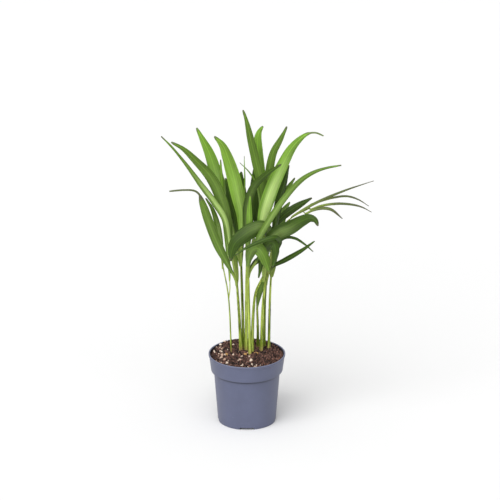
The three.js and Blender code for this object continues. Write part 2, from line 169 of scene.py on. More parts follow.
class StageSettings(bpy.types.PropertyGroup):
    lens: number("Lens", "Camera lens in millimetres", 600)
    distance: length("Distance", "Camera distance from the point it looks at", 12.96)
    elevation: number("Elevation", "Camera angle above the horizon in degrees", 22)
    aim_x: length("Aim right", "How far right the camera looks", 4.8 * MM)
    aim_z: length("Aim height", "How high the camera looks", 285.5 * MM)
    floor_size: length("Floor", "Side of the pale floor", 14)
    key: number("Key light", "Strength of the wide soft light from the upper left", 2.2)
    top: number("Top light", "Strength of the very wide light from above", 0.9)
    front: number("Front light", "Strength of the wide soft light from the front", 0.35)
    sky: number("Room light", "Strength of the even light of the room", 0.42)
    floor: colour("Floor", "Colour of the floor", (0.82, 0.82, 0.82))


SETTINGS = {
    "palm_pot": PotSettings,
    "palm_soil": SoilSettings,
    "palm_cane": CaneSettings,
    "palm_leaf": LeafSettings,
    "palm_stage": StageSettings,
}

# ------------------------------------------------------------------ node helpers


class Nodes:
    """Adds and links nodes in one tree, taking sockets, numbers or vectors as values."""

    def __init__(self, tree):
        self.tree = tree

    def add(self, kind, **settings):
        node = self.tree.nodes.new(kind)
        for key, value in settings.items():
            setattr(node, key, value)
        return node

    def put(self, socket, value):
        if isinstance(value, bpy.types.NodeSocket):
            self.tree.links.new(value, socket)
        elif value is not None:
            socket.default_value = value

    def fill(self, node, *values):
        """Puts values into a node's inputs in order and returns its outputs."""
        for socket, value in zip(node.inputs, values):
            self.put(socket, value)
        return node.outputs

    def math(self, operation, *values, clamp=False):
        return self.fill(self.add("ShaderNodeMath", operation=operation, use_clamp=clamp), *values)[0]

    def times(self, first, second, clamp=False):
        return self.math("MULTIPLY", first, second, clamp=clamp)

    def times_plus(self, first, second, third, clamp=False):
        return self.math("MULTIPLY_ADD", first, second, third, clamp=clamp)

    def plus(self, first, second, clamp=False):
        return self.math("ADD", first, second, clamp=clamp)

    def minus(self, first, second):
        return self.math("SUBTRACT", first, second)

    def vector(self, operation, first, second=None, scale=None):
        node = self.add("ShaderNodeVectorMath", operation=operation)
        self.fill(node, first, second)
        if scale is not None:
            self.put(node.inputs["Scale"], scale)
        return node.outputs["Value" if operation == "DOT_PRODUCT" else "Vector"]

    def span(self, value, low, high, start=0.0, end=1.0, smooth=True):
        """Maps low..high to start..end and holds the ends."""
        node = self.add("ShaderNodeMapRange", interpolation_type="SMOOTHSTEP" if smooth else "LINEAR")
        return self.fill(node, value, low, high, start, end)["Result"]

    def combine(self, x, y, z):
        return self.fill(self.add("ShaderNodeCombineXYZ"), x, y, z)[0]

    def separate(self, value):
        return self.fill(self.add("ShaderNodeSeparateXYZ"), value)

    def noise(self, where, scale, detail=2.0, roughness=0.5):
        node = self.add("ShaderNodeTexNoise")
        given = {"Vector": where, "Scale": scale, "Detail": detail, "Roughness": roughness}
        for label, value in given.items():
            self.put(node.inputs[label], value)
        return node.outputs[0]

    def blend(self, share, first, second):
        """Mixes two colours."""
        node = self.add("ShaderNodeMix", data_type="RGBA")
        self.put(node.inputs["Factor"], share)
        for socket, value in ((node.inputs[6], first), (node.inputs[7], second)):
            self.put(socket, (*value, 1) if isinstance(value, tuple) else value)
        return node.outputs[2]

    def layers(self, tone, *coats):
        """Lays colours over a tone in order, each given as (share, colour)."""
        for share, paint in coats:
            tone = self.blend(share, tone, paint)
        return tone

    def geometry(self, kind, settings=None, **inputs):
        """Adds a geometry node, fills its inputs by name and returns its outputs."""
        node = self.add("GeometryNode" + kind, **(settings or {}))
        for name, value in inputs.items():
            self.put(node.inputs[name.replace("_", " ")], value)
        return node.outputs

    def keep(self, geometry, name, value, data_type="FLOAT", domain="POINT", **inputs):
        """Stores a named attribute on the geometry."""
        return self.geometry("StoreNamedAttribute", {"data_type": data_type, "domain": domain},
                             Geometry=geometry, Name=name, Value=value, **inputs)[0]

    def named(self, name):
        """Reads a named number attribute in a geometry tree."""
        return self.geometry("InputNamedAttribute", {"data_type": "FLOAT"}, Name=name)["Attribute"]


def colour_of(value):
    """A colour setting as a plain tuple."""
    return tuple(value)[:3]


def scaled(value, share):
    return tuple(min(1, part * share) for part in value)


def surface(name, roughness=0.5, **sockets):
    """A material with one Principled shader: (material, its nodes, the shader)."""
    material = bpy.data.materials.new(name)
    material.use_nodes = True
    nodes = Nodes(material.node_tree)
    shader = next(node for node in material.node_tree.nodes if node.type == "BSDF_PRINCIPLED")
    shader.inputs["Roughness"].default_value = roughness
    for key, value in sockets.items():
        shader.inputs[key.replace("_", " ")].default_value = value
    return material, nodes, shader


def dress(nodes, shader, tone, height, distance, rough=None):
    """Gives a finish its colour, its bump and, where it varies, its roughness."""
    bump = nodes.add("ShaderNodeBump")
    bump.inputs["Strength"].default_value = 1
    bump.inputs["Distance"].default_value = distance
    nodes.put(bump.inputs["Height"], height)
    nodes.put(shader.inputs["Normal"], bump.outputs[0])
    nodes.put(shader.inputs["Base Color"], tone)
    nodes.put(shader.inputs["Roughness"], rough)


def object_place(nodes):
    return nodes.add("ShaderNodeTexCoord").outputs["Object"]


def attribute(nodes, name, output="Vector"):
    return nodes.add("ShaderNodeAttribute", attribute_name=name).outputs[output]


# ------------------------------------------------------------------ geometry helpers


def new_tree(name, inputs):
    """An empty geometry tree: (tree, its nodes, the input sockets by name)."""
    tree = bpy.data.node_groups.new(name, "GeometryNodeTree")
    for label, kind in inputs:
        tree.interface.new_socket(label, in_out="INPUT", socket_type="NodeSocket" + kind)
    tree.interface.new_socket("Result", in_out="OUTPUT", socket_type="NodeSocketGeometry")
    nodes = Nodes(tree)
    sockets = nodes.add("NodeGroupInput").outputs
    return tree, nodes, {label: sockets[label] for label, _ in inputs}


def end_tree(nodes, geometry, finish):
    """Realize Instances, Set Material, output."""
    whole = nodes.geometry("RealizeInstances", Geometry=geometry)[0]
    painted = nodes.geometry("SetMaterial", Geometry=whole, Material=finish)[0]
    nodes.fill(nodes.add("NodeGroupOutput"), painted)


def link(item):
    bpy.context.scene.collection.objects.link(item)
    return item


def drop(item):
    """Removes a helper object and its data."""
    data = item.data
    bpy.data.objects.remove(item)
    (bpy.data.meshes if isinstance(data, bpy.types.Mesh) else bpy.data.curves).remove(data)


def settle(piece, modifier):
    """Replaces a piece's mesh by the result of its modifier."""
    graph = bpy.context.evaluated_depsgraph_get()
    mesh = bpy.data.meshes.new_from_object(
        piece.evaluated_get(graph), preserve_all_data_layers=True, depsgraph=graph)
    piece.modifiers.remove(modifier)
    start = piece.data
    piece.data = mesh
    bpy.data.meshes.remove(start)
    return mesh


def run_tree(tree, name, values):
    """Runs a geometry tree with its named inputs and returns the result as a plain mesh object."""
    piece = link(bpy.data.objects.new(name, bpy.data.meshes.new(name + "_start")))
    modifier = piece.modifiers.new("shape", "NODES")
    modifier.node_group = tree
    keys = {item.name: item.identifier for item in tree.interface.items_tree
            if item.item_type == "SOCKET" and item.in_out == "INPUT"}
    for label, value in values.items():
        modifier[keys[label]] = value
    mesh = settle(piece, modifier)
    mesh.name = name
    if not mesh.polygons:
        raise RuntimeError(name + " came out empty")
    return piece


def guide_curve(name, points, radii):
    """A poly curve through the points, with a radius at each."""
    data = bpy.data.curves.new(name, "CURVE")
    data.dimensions = "3D"
    spline = data.splines.new("POLY")
    spline.points.add(len(points) - 1)
    for knot, place, radius in zip(spline.points, points, radii):
        knot.co = (*place, 1)
        knot.radius = radius
    return link(bpy.data.objects.new(name, data))


def smooth_path(points, steps):
    """Evenly spaced points on the rounded curve through the given ones, in metres."""
    knots = [Vector(point) * MM for point in points]
    ends = [2 * knots[0] - knots[1], *knots, 2 * knots[-1] - knots[-2]]
    fine = []
    for a, b, c, d in zip(ends, ends[1:], ends[2:], ends[3:]):
        before, here, after = ((q - p).length ** 0.5 for p, q in ((a, b), (b, c), (c, d)))
        leave = ((b - a) / before - (c - a) / (before + here) + (c - b) / here) * here
        arrive = ((c - b) / here - (d - b) / (here + after) + (d - c) / after) * here
        for index in range(FINE_STEPS):
            t = index / FINE_STEPS
            fine.append(b + leave * t + (3 * (c - b) - 2 * leave - arrive) * t ** 2
                        + (2 * (b - c) + leave + arrive) * t ** 3)
    fine.append(knots[-1])
    run = [0.0]
    for p, q in zip(fine, fine[1:]):
        run.append(run[-1] + (q - p).length)
    path = []
    index = 0
    for step in range(steps):
        goal = run[-1] * step / (steps - 1)
        while index < len(run) - 2 and run[index + 1] < goal:
            index += 1
        share = (goal - run[index]) / max(1e-12, run[index + 1] - run[index])
        path.append(fine[index].lerp(fine[index + 1], min(1, share)))
    return path, run[-1]


def smooth_faces(mesh):
    for face in mesh.polygons:
        face.use_smooth = True


def mesh_from(name, bm, soft=False):
    """Turns a bmesh into a mesh and frees it."""
    mesh = bpy.data.meshes.new(name)
    bm.to_mesh(mesh)
    bm.free()
    if soft:
        smooth_faces(mesh)
    return mesh


def circle(radius, sides, height=0):
    """Evenly spaced points on a level circle round the axis."""
    return [(radius * math.cos(turn), radius * math.sin(turn), height)
            for turn in (2 * math.pi * side / sides for side in range(sides))]


def finish_piece(piece, nodes=()):
    """Tells the frame what a finished piece rides on and stands for."""
    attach(piece, "root")
    if nodes:
        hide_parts(*nodes)


def lathe(name, profile, sides):
    """A closed turned shell from (radius, height) points that start and end on the axis."""
    bm = bmesh.new()
    rings = []
    for radius, height in profile:
        if radius < 1e-7:
            rings.append([bm.verts.new((0, 0, height))])
            continue
        rings.append([bm.verts.new(place) for place in circle(radius, sides, height)])
    for low, high in zip(rings, rings[1:]):
        for side in range(sides):
            after = (side + 1) % sides
            if len(low) == 1:
                bm.faces.new((low[0], high[after], high[side]))
            elif len(high) == 1:
                bm.faces.new((low[side], low[after], high[0]))
            else:
                bm.faces.new((low[side], low[after], high[after], high[side]))
    bmesh.ops.recalc_face_normals(bm, faces=bm.faces)
    return link(bpy.data.objects.new(name, mesh_from(name, bm)))


def rounded(profile, radius, steps=4):
    """Rounds the inner corners of a profile with short arcs."""
    result = [profile[0]]
    for before, corner, after in zip(profile, profile[1:], profile[2:]):
        here = Vector(corner)
        back = Vector(before) - here
        ahead = Vector(after) - here
        reach = min(radius, back.length * 0.45, ahead.length * 0.45)
        start = here + back.normalized() * reach
        end = here + ahead.normalized() * reach
        for index in range(steps + 1):
            t = index / steps
            result.append(tuple(start * (1 - t) ** 2 + here * 2 * t * (1 - t) + end * t ** 2))
    return [*result, profile[-1]]


def pot_profile(pot):
    """Underside, outside, rim, inside and floor of the moulded pot, from axis to axis."""
    bead = 2.2 * MM
    lip = pot.rim_top - 3 * MM
    inner_floor = PAD_RISE + POT_FLOOR
    return [
        (0, 0), (12 * MM, 0), (14 * MM, PAD_RISE), (FOOT_RADIUS - 2.5 * MM, PAD_RISE),
        (FOOT_RADIUS - 2 * MM, 0), (FOOT_RADIUS + 0.7 * MM, 0), (pot.body_foot, 2.4 * MM),
        (pot.body_top, pot.step_bottom), (pot.body_top + 0.2 * MM, pot.collar_bottom - 0.4 * MM),
        (pot.collar_radius - 0.5 * MM, pot.collar_bottom - 0.3 * MM),
        (pot.collar_radius, pot.collar_bottom + 0.4 * MM), (pot.rim_radius - 0.9 * MM, lip - 0.9 * MM),
        (pot.rim_radius, lip), (pot.rim_radius, pot.rim_top), (pot.rim_radius - bead, pot.rim_top),
        (pot.rim_radius - bead - 0.1 * MM, lip - 0.5 * MM),
        (pot.collar_radius - pot.wall, pot.collar_bottom + 1.6 * MM),
        (pot.body_top - pot.wall, pot.collar_bottom + 1 * MM),
        (pot.body_foot - pot.wall, inner_floor), (13.4 * MM, inner_floor),
        (11.6 * MM, POT_FLOOR), (0, POT_FLOOR),
    ]


def box_cutter(width, depth, height, place, turn):
    bm = bmesh.new()
    bmesh.ops.create_cube(bm, size=1, matrix=Matrix.Rotation(turn, 4, "Z") @ Matrix.Translation(place)
                          @ Matrix.Diagonal((depth, width, height, 1)))
    return bm


def tube_cutter(radius, height, place):
    bm = bmesh.new()
    bmesh.ops.create_cone(bm, cap_ends=True, segments=32, radius1=radius, radius2=radius, depth=height,
                          matrix=Matrix.Translation(place))
    return bm


def cut(piece, cutters):
    """Cuts closed shapes out of a piece for good."""
    whole = bmesh.new()
    for bm in cutters:
        part = mesh_from("part", bm)
        whole.from_mesh(part)
        bpy.data.meshes.remove(part)
    cutter = link(bpy.data.objects.new("cutter", mesh_from("cutter", whole)))
    modifier = piece.modifiers.new("cut", "BOOLEAN")
    modifier.operation = "DIFFERENCE"
    modifier.solver = "EXACT"
    modifier.object = cutter
    settle(piece, modifier)
    drop(cutter)


def sharpen(mesh, degrees):
    """Smooth faces with hard edges where the surface turns more than the angle."""
    bm = bmesh.new()
    bm.from_mesh(mesh)
    for edge in bm.edges:
        edge.smooth = len(edge.link_faces) == 2 and edge.calc_face_angle(0) < math.radians(degrees)
    for face in bm.faces:
        face.smooth = True
    bm.to_mesh(mesh)
    bm.free()


def pot_skin(pot):
    """Satin moulded plastic: faint flow marks, scuffs, soil dust near the rim, painted shade under the
    collar, painted highlight along the rim top.
    """
    material, nodes, shader = surface("moulded_plastic", 0.46)
    place = object_place(nodes)
    x, y, z = nodes.separate(place)
    flow = nodes.noise(nodes.combine(x, y, nodes.times(z, 0.12)), 60, 3)
    cloud = nodes.noise(place, 22, 4, 0.6)
    scuff = nodes.span(nodes.noise(nodes.combine(x, y, nodes.times(z, 6)), 90, 5, 0.7), 0.62, 0.7)
    speck = nodes.span(nodes.noise(place, 900, 2, 0.6), 0.66, 0.74)
    dust = nodes.times(speck, nodes.times_plus(nodes.span(z, 0.094, 0.112), 0.45, 0.08))
    ledge, rim = pot.collar_bottom, pot.rim_top
    # painted shade: a dark band on the body just under the collar's overhang, where its shadow falls
    under = nodes.times(nodes.span(z, ledge + 0.7 * MM, ledge + 0.1 * MM),
                        nodes.span(z, ledge - 5 * MM, ledge - 2.2 * MM))
    outside = colour_of(pot.outside)
    tone = nodes.layers(
        nodes.blend(nodes.span(cloud, 0.3, 0.7), scaled(outside, 0.93), scaled(outside, 1.06)),
        (nodes.times(nodes.span(flow, 0.4, 0.7), 0.25), scaled(outside, 1.16)),
        (nodes.times(scuff, 0.16), linear(150, 153, 172)),
        (dust, linear(92, 74, 66)),
        # painted shade under the collar's overhang
        (nodes.times(under, 0.75), scaled(outside, 0.3)),
        # painted highlight: a lighter band along the top of the rim
        (nodes.times(nodes.span(z, rim - 0.8 * MM, rim - 0.1 * MM), 0.4), linear(138, 140, 160)))
    rough = nodes.times_plus(scuff, 0.14, nodes.times_plus(cloud, 0.16, 0.36))
    grain = nodes.noise(place, 1600, 2)
    dress(nodes, shader, tone, nodes.times_plus(flow, 2.0, grain), 0.00003, rough)
    return material


def pot_lining(pot):
    """Dark inner layer, dusted with soil."""
    material, nodes, shader = surface("dark_lining", 0.6)
    dust = nodes.span(nodes.noise(object_place(nodes), 240, 4, 0.65), 0.5, 0.72)
    tone = nodes.blend(nodes.times(dust, 0.6), colour_of(pot.inside), linear(58, 42, 36))
    dress(nodes, shader, tone, dust, 0.0002)
    return material


class PALM_OT_pot(bpy.types.Operator):
    """Moulds the pot: stepped shell, rim bead, foot notches and drain holes"""
    bl_idname = "palm.pot"
    bl_label = "Pot"

    def execute(self, context):
        pot = context.scene.palm_pot
        piece = lathe("grower_pot", rounded(pot_profile(pot), 0.9 * MM), POT_SIDES)
        cutters = [box_cutter(pot.notch_width, 12 * MM, 2 * pot.notch_height, (FOOT_RADIUS, 0, 0),
                              turn * math.pi / 2) for turn in range(4)]
        for index in range(DRAIN_HOLES):
            turn = (index + 0.5) * math.pi / 3
            place = (DRAIN_CIRCLE * math.cos(turn), DRAIN_CIRCLE * math.sin(turn), 4 * MM)
            cutters.append(tube_cutter(3.5 * MM, 12 * MM, place))
        cut(piece, cutters)
        sharpen(piece.data, 50)
        piece.data.materials.clear()
        for material in (pot_skin(pot), pot_lining(pot)):
            piece.data.materials.append(material)
        for face in piece.data.polygons:
            face.material_index = int(self.is_lining(pot, face))
        finish_piece(piece, ["pot"])
        return {"FINISHED"}

    @staticmethod
    def is_lining(pot, face):
        """True for a face inside the wall or on the floor, not on the rim or the underside."""
        x, y, z = face.center
        inward = face.normal.x * x + face.normal.y * y < -1e-6
        level = face.normal.z > 0.9
        above_pad = z > 5 * MM or math.hypot(x, y) < 11.7 * MM
        return 1 * MM < z < pot.rim_top - 1.5 * MM and (inward or level) and above_pad


# ------------------------------------------------------------------ soil


def wall_inside(pot, height):
    """Inside radius of the wall at a height."""
    if height > pot.collar_bottom:
        share = (height - pot.collar_bottom) / (pot.rim_top - pot.collar_bottom)
        slope = pot.rim_radius - 2.3 * MM - pot.collar_radius + pot.wall
        return pot.collar_radius - pot.wall + share * slope
    share = max(0, height / pot.step_bottom)
    return pot.body_foot - pot.wall + min(1, share) * (pot.body_top - pot.body_foot)


def soil_height(soil, x, y, limit):
    """Height of the soil's surface: a low mound with lumps of two sizes."""
    share = 1 - min(1, math.hypot(x, y) / limit)
    rise = math.sin(share * math.pi / 2)
    base = soil.edge + (soil.crown - soil.edge) * rise
    big = noise.noise(Vector((x * 70, y * 70, 3.1)))
    small = noise.noise(Vector((x * 210, y * 210, 7.7)))
    fine = noise.noise(Vector((x * 620, y * 620, 1.9)))
    back = 7.4 * MM * max(0, y / limit) ** 1.6
    return base + back + soil.lump * (big + 0.55 * small + 0.28 * fine)


def soil_mesh(name, pot, soil, rings, sides, with_sides):
    """The mounded surface, and the block under it if asked."""
    limit = wall_inside(pot, soil.edge) - 0.35 * MM
    rows = [[(x, y, soil_height(soil, x, y, limit)) for x, y, _ in circle(limit * ring / rings, sides)]
            for ring in range(1, rings + 1)]
    if with_sides:
        high, low = pot.collar_bottom + 2.4 * MM, pot.collar_bottom + 1.4 * MM
        rows += [circle(wall - SOIL_GAP, sides, height) for height, wall in (
            (high, wall_inside(pot, high)), (low, pot.body_top - pot.wall), (5.8 * MM, wall_inside(pot, 0)))]

    def between(row, side):
        """The face between a row of points and the next one out."""
        start, after = 1 + row * sides, (side + 1) % sides
        return start + side, start + sides + side, start + sides + after, start + after

    faces = []
    for side in range(sides):
        faces.append((0, 1 + side, 1 + (side + 1) % sides))
        faces += [between(row, side) for row in range(rings - 1)]
    if with_sides:
        faces += [between(row, side) for row in range(rings - 1, len(rows) - 1) for side in range(sides)]
        faces.append(tuple(1 + (len(rows) - 1) * sides + side for side in reversed(range(sides))))
    mesh = bpy.data.meshes.new(name)
    places = [(0, 0, soil_height(soil, 0, 0, limit)), *(place for row in rows for place in row)]
    mesh.from_pydata(places, [], faces)
    mesh.update()
    smooth_faces(mesh)
    return link(bpy.data.objects.new(name, mesh))


def lumpy_block(name, seed, size, rough, soft=True):
    """A small irregular grain with two dozen faces."""
    bm = bmesh.new()
    bmesh.ops.create_cube(bm, size=1)
    bmesh.ops.subdivide_edges(bm, edges=bm.edges, cuts=1, use_grid_fill=True)
    for vert in bm.verts:
        push = 1 + rough * noise.noise(vert.co * 1.7 + Vector((seed * 3.7, seed, 0)))
        vert.co = vert.co.normalized() * 0.5 * push
        vert.co = Vector((vert.co.x * size[0], vert.co.y * size[1], vert.co.z * size[2]))
    return bpy.data.objects.new(name, mesh_from(name, bm, soft))


def splinter(name, seed):
    """A flat broken chip of bark."""
    rng = random.Random(seed)
    bm = bmesh.new()
    outline = []
    for index in range(7):
        turn = 2 * math.pi * index / 7
        reach = rng.uniform(0.34, 0.5)
        outline.append(bm.verts.new(
            (reach * math.cos(turn), 0.45 * reach * math.sin(turn), rng.uniform(-0.04, 0.04))))
    face = bm.faces.new(outline)
    top = bmesh.ops.extrude_face_region(bm, geom=[face])
    for vert in (item for item in top["geom"] if isinstance(item, bmesh.types.BMVert)):
        vert.co += Vector((rng.uniform(-0.03, 0.03), rng.uniform(-0.03, 0.03), 0.12))
    bmesh.ops.recalc_face_normals(bm, faces=bm.faces)
    return bpy.data.objects.new(name, mesh_from(name, bm))


def fibre_strand(name, seed):
    """A thin curved strand with a three-sided section."""
    rng = random.Random(seed)
    bend = rng.uniform(0.1, 0.3)
    rise = rng.uniform(0.05, 0.22)
    places = []
    faces = []
    steps = 6
    for step in range(steps + 1):
        share = step / steps
        thick = 0.022 * (1 - 0.7 * share)
        centre = Vector((share - 0.5, bend * math.sin(share * 3), rise * math.sin(share * math.pi)))
        for side in range(3):
            turn = 2 * math.pi * side / 3
            places.append(centre + Vector((0, thick * math.cos(turn), thick * math.sin(turn))))
    for step in range(steps):
        for side in range(3):
            a, b = step * 3 + side, step * 3 + (side + 1) % 3
            faces.append((a, a + 3, b + 3, b))
    faces.append((0, 1, 2))
    faces.append(tuple(steps * 3 + side for side in (2, 1, 0)))
    mesh = bpy.data.meshes.new(name)
    mesh.from_pydata(places, [], faces)
    bm = bmesh.new()
    bm.from_mesh(mesh)
    bmesh.ops.recalc_face_normals(bm, faces=bm.faces)
    bm.to_mesh(mesh)
    bm.free()
    smooth_faces(mesh)
    return bpy.data.objects.new(name, mesh)


def scatter_tree():
    """Scatters the pieces of a collection over a surface, more of them on one side if asked."""
    tree, nodes, given = new_tree("scatter_grains", [
        ("Ground", "Object"), ("Grains", "Collection"), ("Per square metre", "Float"), ("Smallest", "Float"),
        ("Largest", "Float"), ("Thinning direction", "Vector"), ("Even share", "Float"), ("Tilt", "Float"),
        ("Lift", "Float"), ("Seed", "Int"), ("Finish", "Material")])

    def chance(low, high, offset):
        node = nodes.add("FunctionNodeRandomValue", data_type="FLOAT")
        names = {socket.name: socket for socket in node.inputs if socket.enabled}
        nodes.put(names["Min"], low)
        nodes.put(names["Max"], high)
        nodes.put(names["Seed"], nodes.plus(given["Seed"], offset))
        return next(socket for socket in node.outputs if socket.enabled)

    ground = nodes.geometry("ObjectInfo", Object=given["Ground"])["Geometry"]
    side = nodes.vector("DOT_PRODUCT", nodes.geometry("InputPosition")[0], given["Thinning direction"])
    share = nodes.plus(nodes.times(side, 18), given["Even share"], clamp=True)
    points = nodes.geometry("DistributePointsOnFaces", Mesh=ground, Seed=given["Seed"],
                            Density=nodes.times(given["Per square metre"], share))["Points"]
    source = nodes.geometry("CollectionInfo", Collection=given["Grains"], Separate_Children=True,
                            Reset_Children=True)[0]
    spread = nodes.minus(given["Largest"], given["Smallest"])
    size = nodes.times_plus(nodes.math("POWER", chance(0.0, 1.0, 11), 2.2), spread, given["Smallest"])
    lean = nodes.times(given["Tilt"], -1)
    turn = nodes.combine(chance(lean, given["Tilt"], 23), chance(lean, given["Tilt"], 31),
                         chance(0.0, 6.283, 41))
    raised = nodes.geometry("SetPosition", Geometry=points,
                            Offset=nodes.combine(0.0, 0.0, nodes.times(size, given["Lift"])))[0]
    copies = nodes.geometry("InstanceOnPoints", Points=raised, Instance=source, Pick_Instance=True,
                            Rotation=turn, Scale=nodes.combine(size, size, size))["Instances"]
    end_tree(nodes, nodes.keep(copies, "grain", chance(0.0, 1.0, 53), domain="INSTANCE"), given["Finish"])
    return tree


def peat_surface(soil):
    """Damp peat: dark crumbs with warmer specks."""
    material, nodes, shader = surface("damp_peat", 0.95)
    place = object_place(nodes)
    broad = nodes.noise(place, 120, 5, 0.65)
    fine = nodes.noise(place, 900, 4, 0.7)
    warm = nodes.span(nodes.noise(place, 420, 2), 0.56, 0.66)
    peat = colour_of(soil.peat)
    tone = nodes.layers(
        nodes.blend(nodes.span(broad, 0.35, 0.65), scaled(peat, 0.45), scaled(peat, 1.25)),
        (nodes.times(warm, 0.45), linear(122, 72, 48)),
        (nodes.times(nodes.span(fine, 0.58, 0.75), 0.4), linear(142, 106, 82)))
    rough = nodes.times_plus(broad, -0.25, 1.0, clamp=True)
    dress(nodes, shader, tone, nodes.times_plus(broad, 2.0, fine), 0.0006, rough)
    return material


def grain_surface(name, base, light, dark, rough, scale):
    """A dry grain finish: mottled between a lighter and a darker tone, and different in each grain."""
    material, nodes, shader = surface(name, rough)
    place = object_place(nodes)
    mottle = nodes.noise(place, scale, 3, 0.6)
    patch = nodes.span(nodes.noise(place, scale * 0.3, 2), 0.35, 0.65)
    each = attribute(nodes, "grain", "Fac")
    tone = nodes.layers(
        nodes.blend(nodes.span(mottle, 0.35, 0.65), dark, light),
        (nodes.times(patch, 0.4), base),
        (nodes.times(nodes.span(each, 0.6, 0.1), 0.85), dark),
        (nodes.times(nodes.span(each, 0.8, 1.0), 0.7), light))
    dress(nodes, shader, tone, mottle, 0.0002)
    return material


def grain_sets():
    """Collections of small source shapes for the scatters."""
    sets = {
        "crumbs": [lumpy_block(f"crumb_{seed}", seed, (1, 0.8, 0.7), 0.9) for seed in range(5)],
        "white": [lumpy_block(f"white_{seed}", seed + 20, (1, 0.8, 0.7), 1.3, False) for seed in range(6)],
        "chips": [splinter(f"chip_{seed}", seed) for seed in range(5)],
        "strands": [fibre_strand(f"strand_{seed}", seed) for seed in range(5)],
    }
    collections = {}
    for label, items in sets.items():
        collections[label] = bpy.data.collections.new("source_" + label)
        for item in items:
            collections[label].objects.link(item)
    return collections


def drop_sets(collections):
    for collection in collections.values():
        for item in list(collection.objects):
            drop(item)
        bpy.data.collections.remove(collection)


class PALM_OT_soil(bpy.types.Operator):
    """Fills the pot with soil and scatters peat crumbs, white grains, bark and fibres on it"""
    bl_idname = "palm.soil"
    bl_label = "Soil"

    def execute(self, context):
        pot, soil = context.scene.palm_pot, context.scene.palm_soil
        bed = soil_mesh("soil_bed", pot, soil, 44, 144, True)
        bed.data.materials.append(peat_surface(soil))
        finish_piece(bed, ["soil"])
        ground = soil_mesh("ground", pot, soil, 20, 64, False)
        sources = grain_sets()
        tree = scatter_tree()
        peat, chip, white, fibre = (
            colour_of(item) for item in (soil.peat, soil.chip, soil.white, soil.fibre))
        # Name, source shapes, grains per square metre, smallest and largest in millimetres, the
        # direction they gather in, even share, tilt, lift, seed and finish.
        kinds = [
            ("peat_crumbs", "crumbs", soil.crumbs, 1.4, 5.2, (0, 0, 0), 1.0, 1.2, 0.24, 3,
             grain_surface("peat_crumb", scaled(peat, 1.2), linear(132, 94, 82), scaled(peat, 0.2),
                           0.95, 260)),
            ("perlite_grains", "white", soil.perlite, 1.8, 6.2, (-1, -0.6, 0), 0.4, 1.5, 0.3, 8,
             grain_surface("perlite", white, linear(244, 230, 212), linear(176, 142, 122), 0.8, 420)),
            ("bark_chips", "chips", soil.bark, 2.4, 7.5, (1, -0.2, 0), 0.5, 0.9, 0.12, 5,
             grain_surface("bark", chip, linear(138, 86, 66), linear(62, 36, 30), 0.85, 380)),
            ("coir_fibres", "strands", soil.fibres, 5.0, 13.0, (1, -0.3, 0), 0.45, 0.35, 0.06, 4,
             grain_surface("coir", fibre, linear(184, 134, 98), linear(108, 66, 48), 0.8, 300)),
        ]
        for name, source, density, small, large, thin, even, tilt, lift, seed, material in kinds:
            piece = run_tree(tree, name, {
                "Ground": ground, "Grains": sources[source], "Per square metre": density,
                "Smallest": small * MM, "Largest": large * MM, "Thinning direction": thin,
                "Even share": even, "Tilt": tilt, "Lift": lift, "Seed": seed, "Finish": material})
            finish_piece(piece)
        drop(ground)
        drop_sets(sources)
        return {"FINISHED"}


# ------------------------------------------------------------------ canes

# Centre line in millimetres from the soil up, then the radius at the foot and at the top.
CANES = {
    "cane_thin_left": ([(-24, 9, 96), (-29, 6, 206), (-38, 0, 262)], 1.3, 0.9),
    "cane_left_front": ([(-9, 14, 96), (-12, 8, 170), (-16, 0, 234)], 2.7, 1.7),
    "cane_left_back": ([(-5, 21, 96), (-7, 18, 186), (-9, 15, 260)], 2.6, 1.7),
    "cane_centre_back": ([(-1, 10, 96), (-1, 8, 218), (0, 6, 266)], 2.6, 1.6),
    "cane_centre_front": ([(5, -3, 96), (3, -6, 195), (2, -8, 251)], 2.8, 1.6),
    "cane_leaning": ([(8, 7, 96), (10, 6, 177), (14, 2, 214), (25, -6, 243)], 2.7, 1.6),
    "cane_young": ([(17, 24, 96), (17, 23, 140), (16, 22, 178)], 2.4, 1.6),
    "cane_right_front": ([(22, 12, 96), (25, 8, 190), (30, 4, 239)], 2.6, 1.6),
    "cane_right_back": ([(27, 27, 96), (28, 27, 182), (30, 27, 223)], 2.3, 1.5),
    "cane_far_right": ([(34, 22, 96), (36, 20, 200), (38, 16, 242)], 2.3, 1.5),
    "shoot_thin_left": ([(-28.4, 6.4, 200), (-26.5, 6.5, 218), (-27, 6.5, 239)], 0.8, 0.7),
    "stalk_feathered_leaf": ([(30.6, 3, 234), (32, 1, 243), (37, -3, 282), (47, -8, 318), (70, -13, 345),
                              (98, -18, 363)], 1.3, 0.8),
}
THIN = {"cane_thin_left", "shoot_thin_left", "stalk_feathered_leaf"}

# How pale each cane is, from 0 for dark olive to 1 for pale cream green.
PALENESS = {
    "cane_left_front": 0.35, "cane_left_back": 0.05, "cane_centre_back": 0.5, "cane_centre_front": 0.6,
    "cane_leaning": 0.4, "cane_young": 0, "cane_right_front": 0.5, "cane_right_back": 0.1,
    "cane_far_right": 0.3, "stalk_feathered_leaf": 0.4,
}


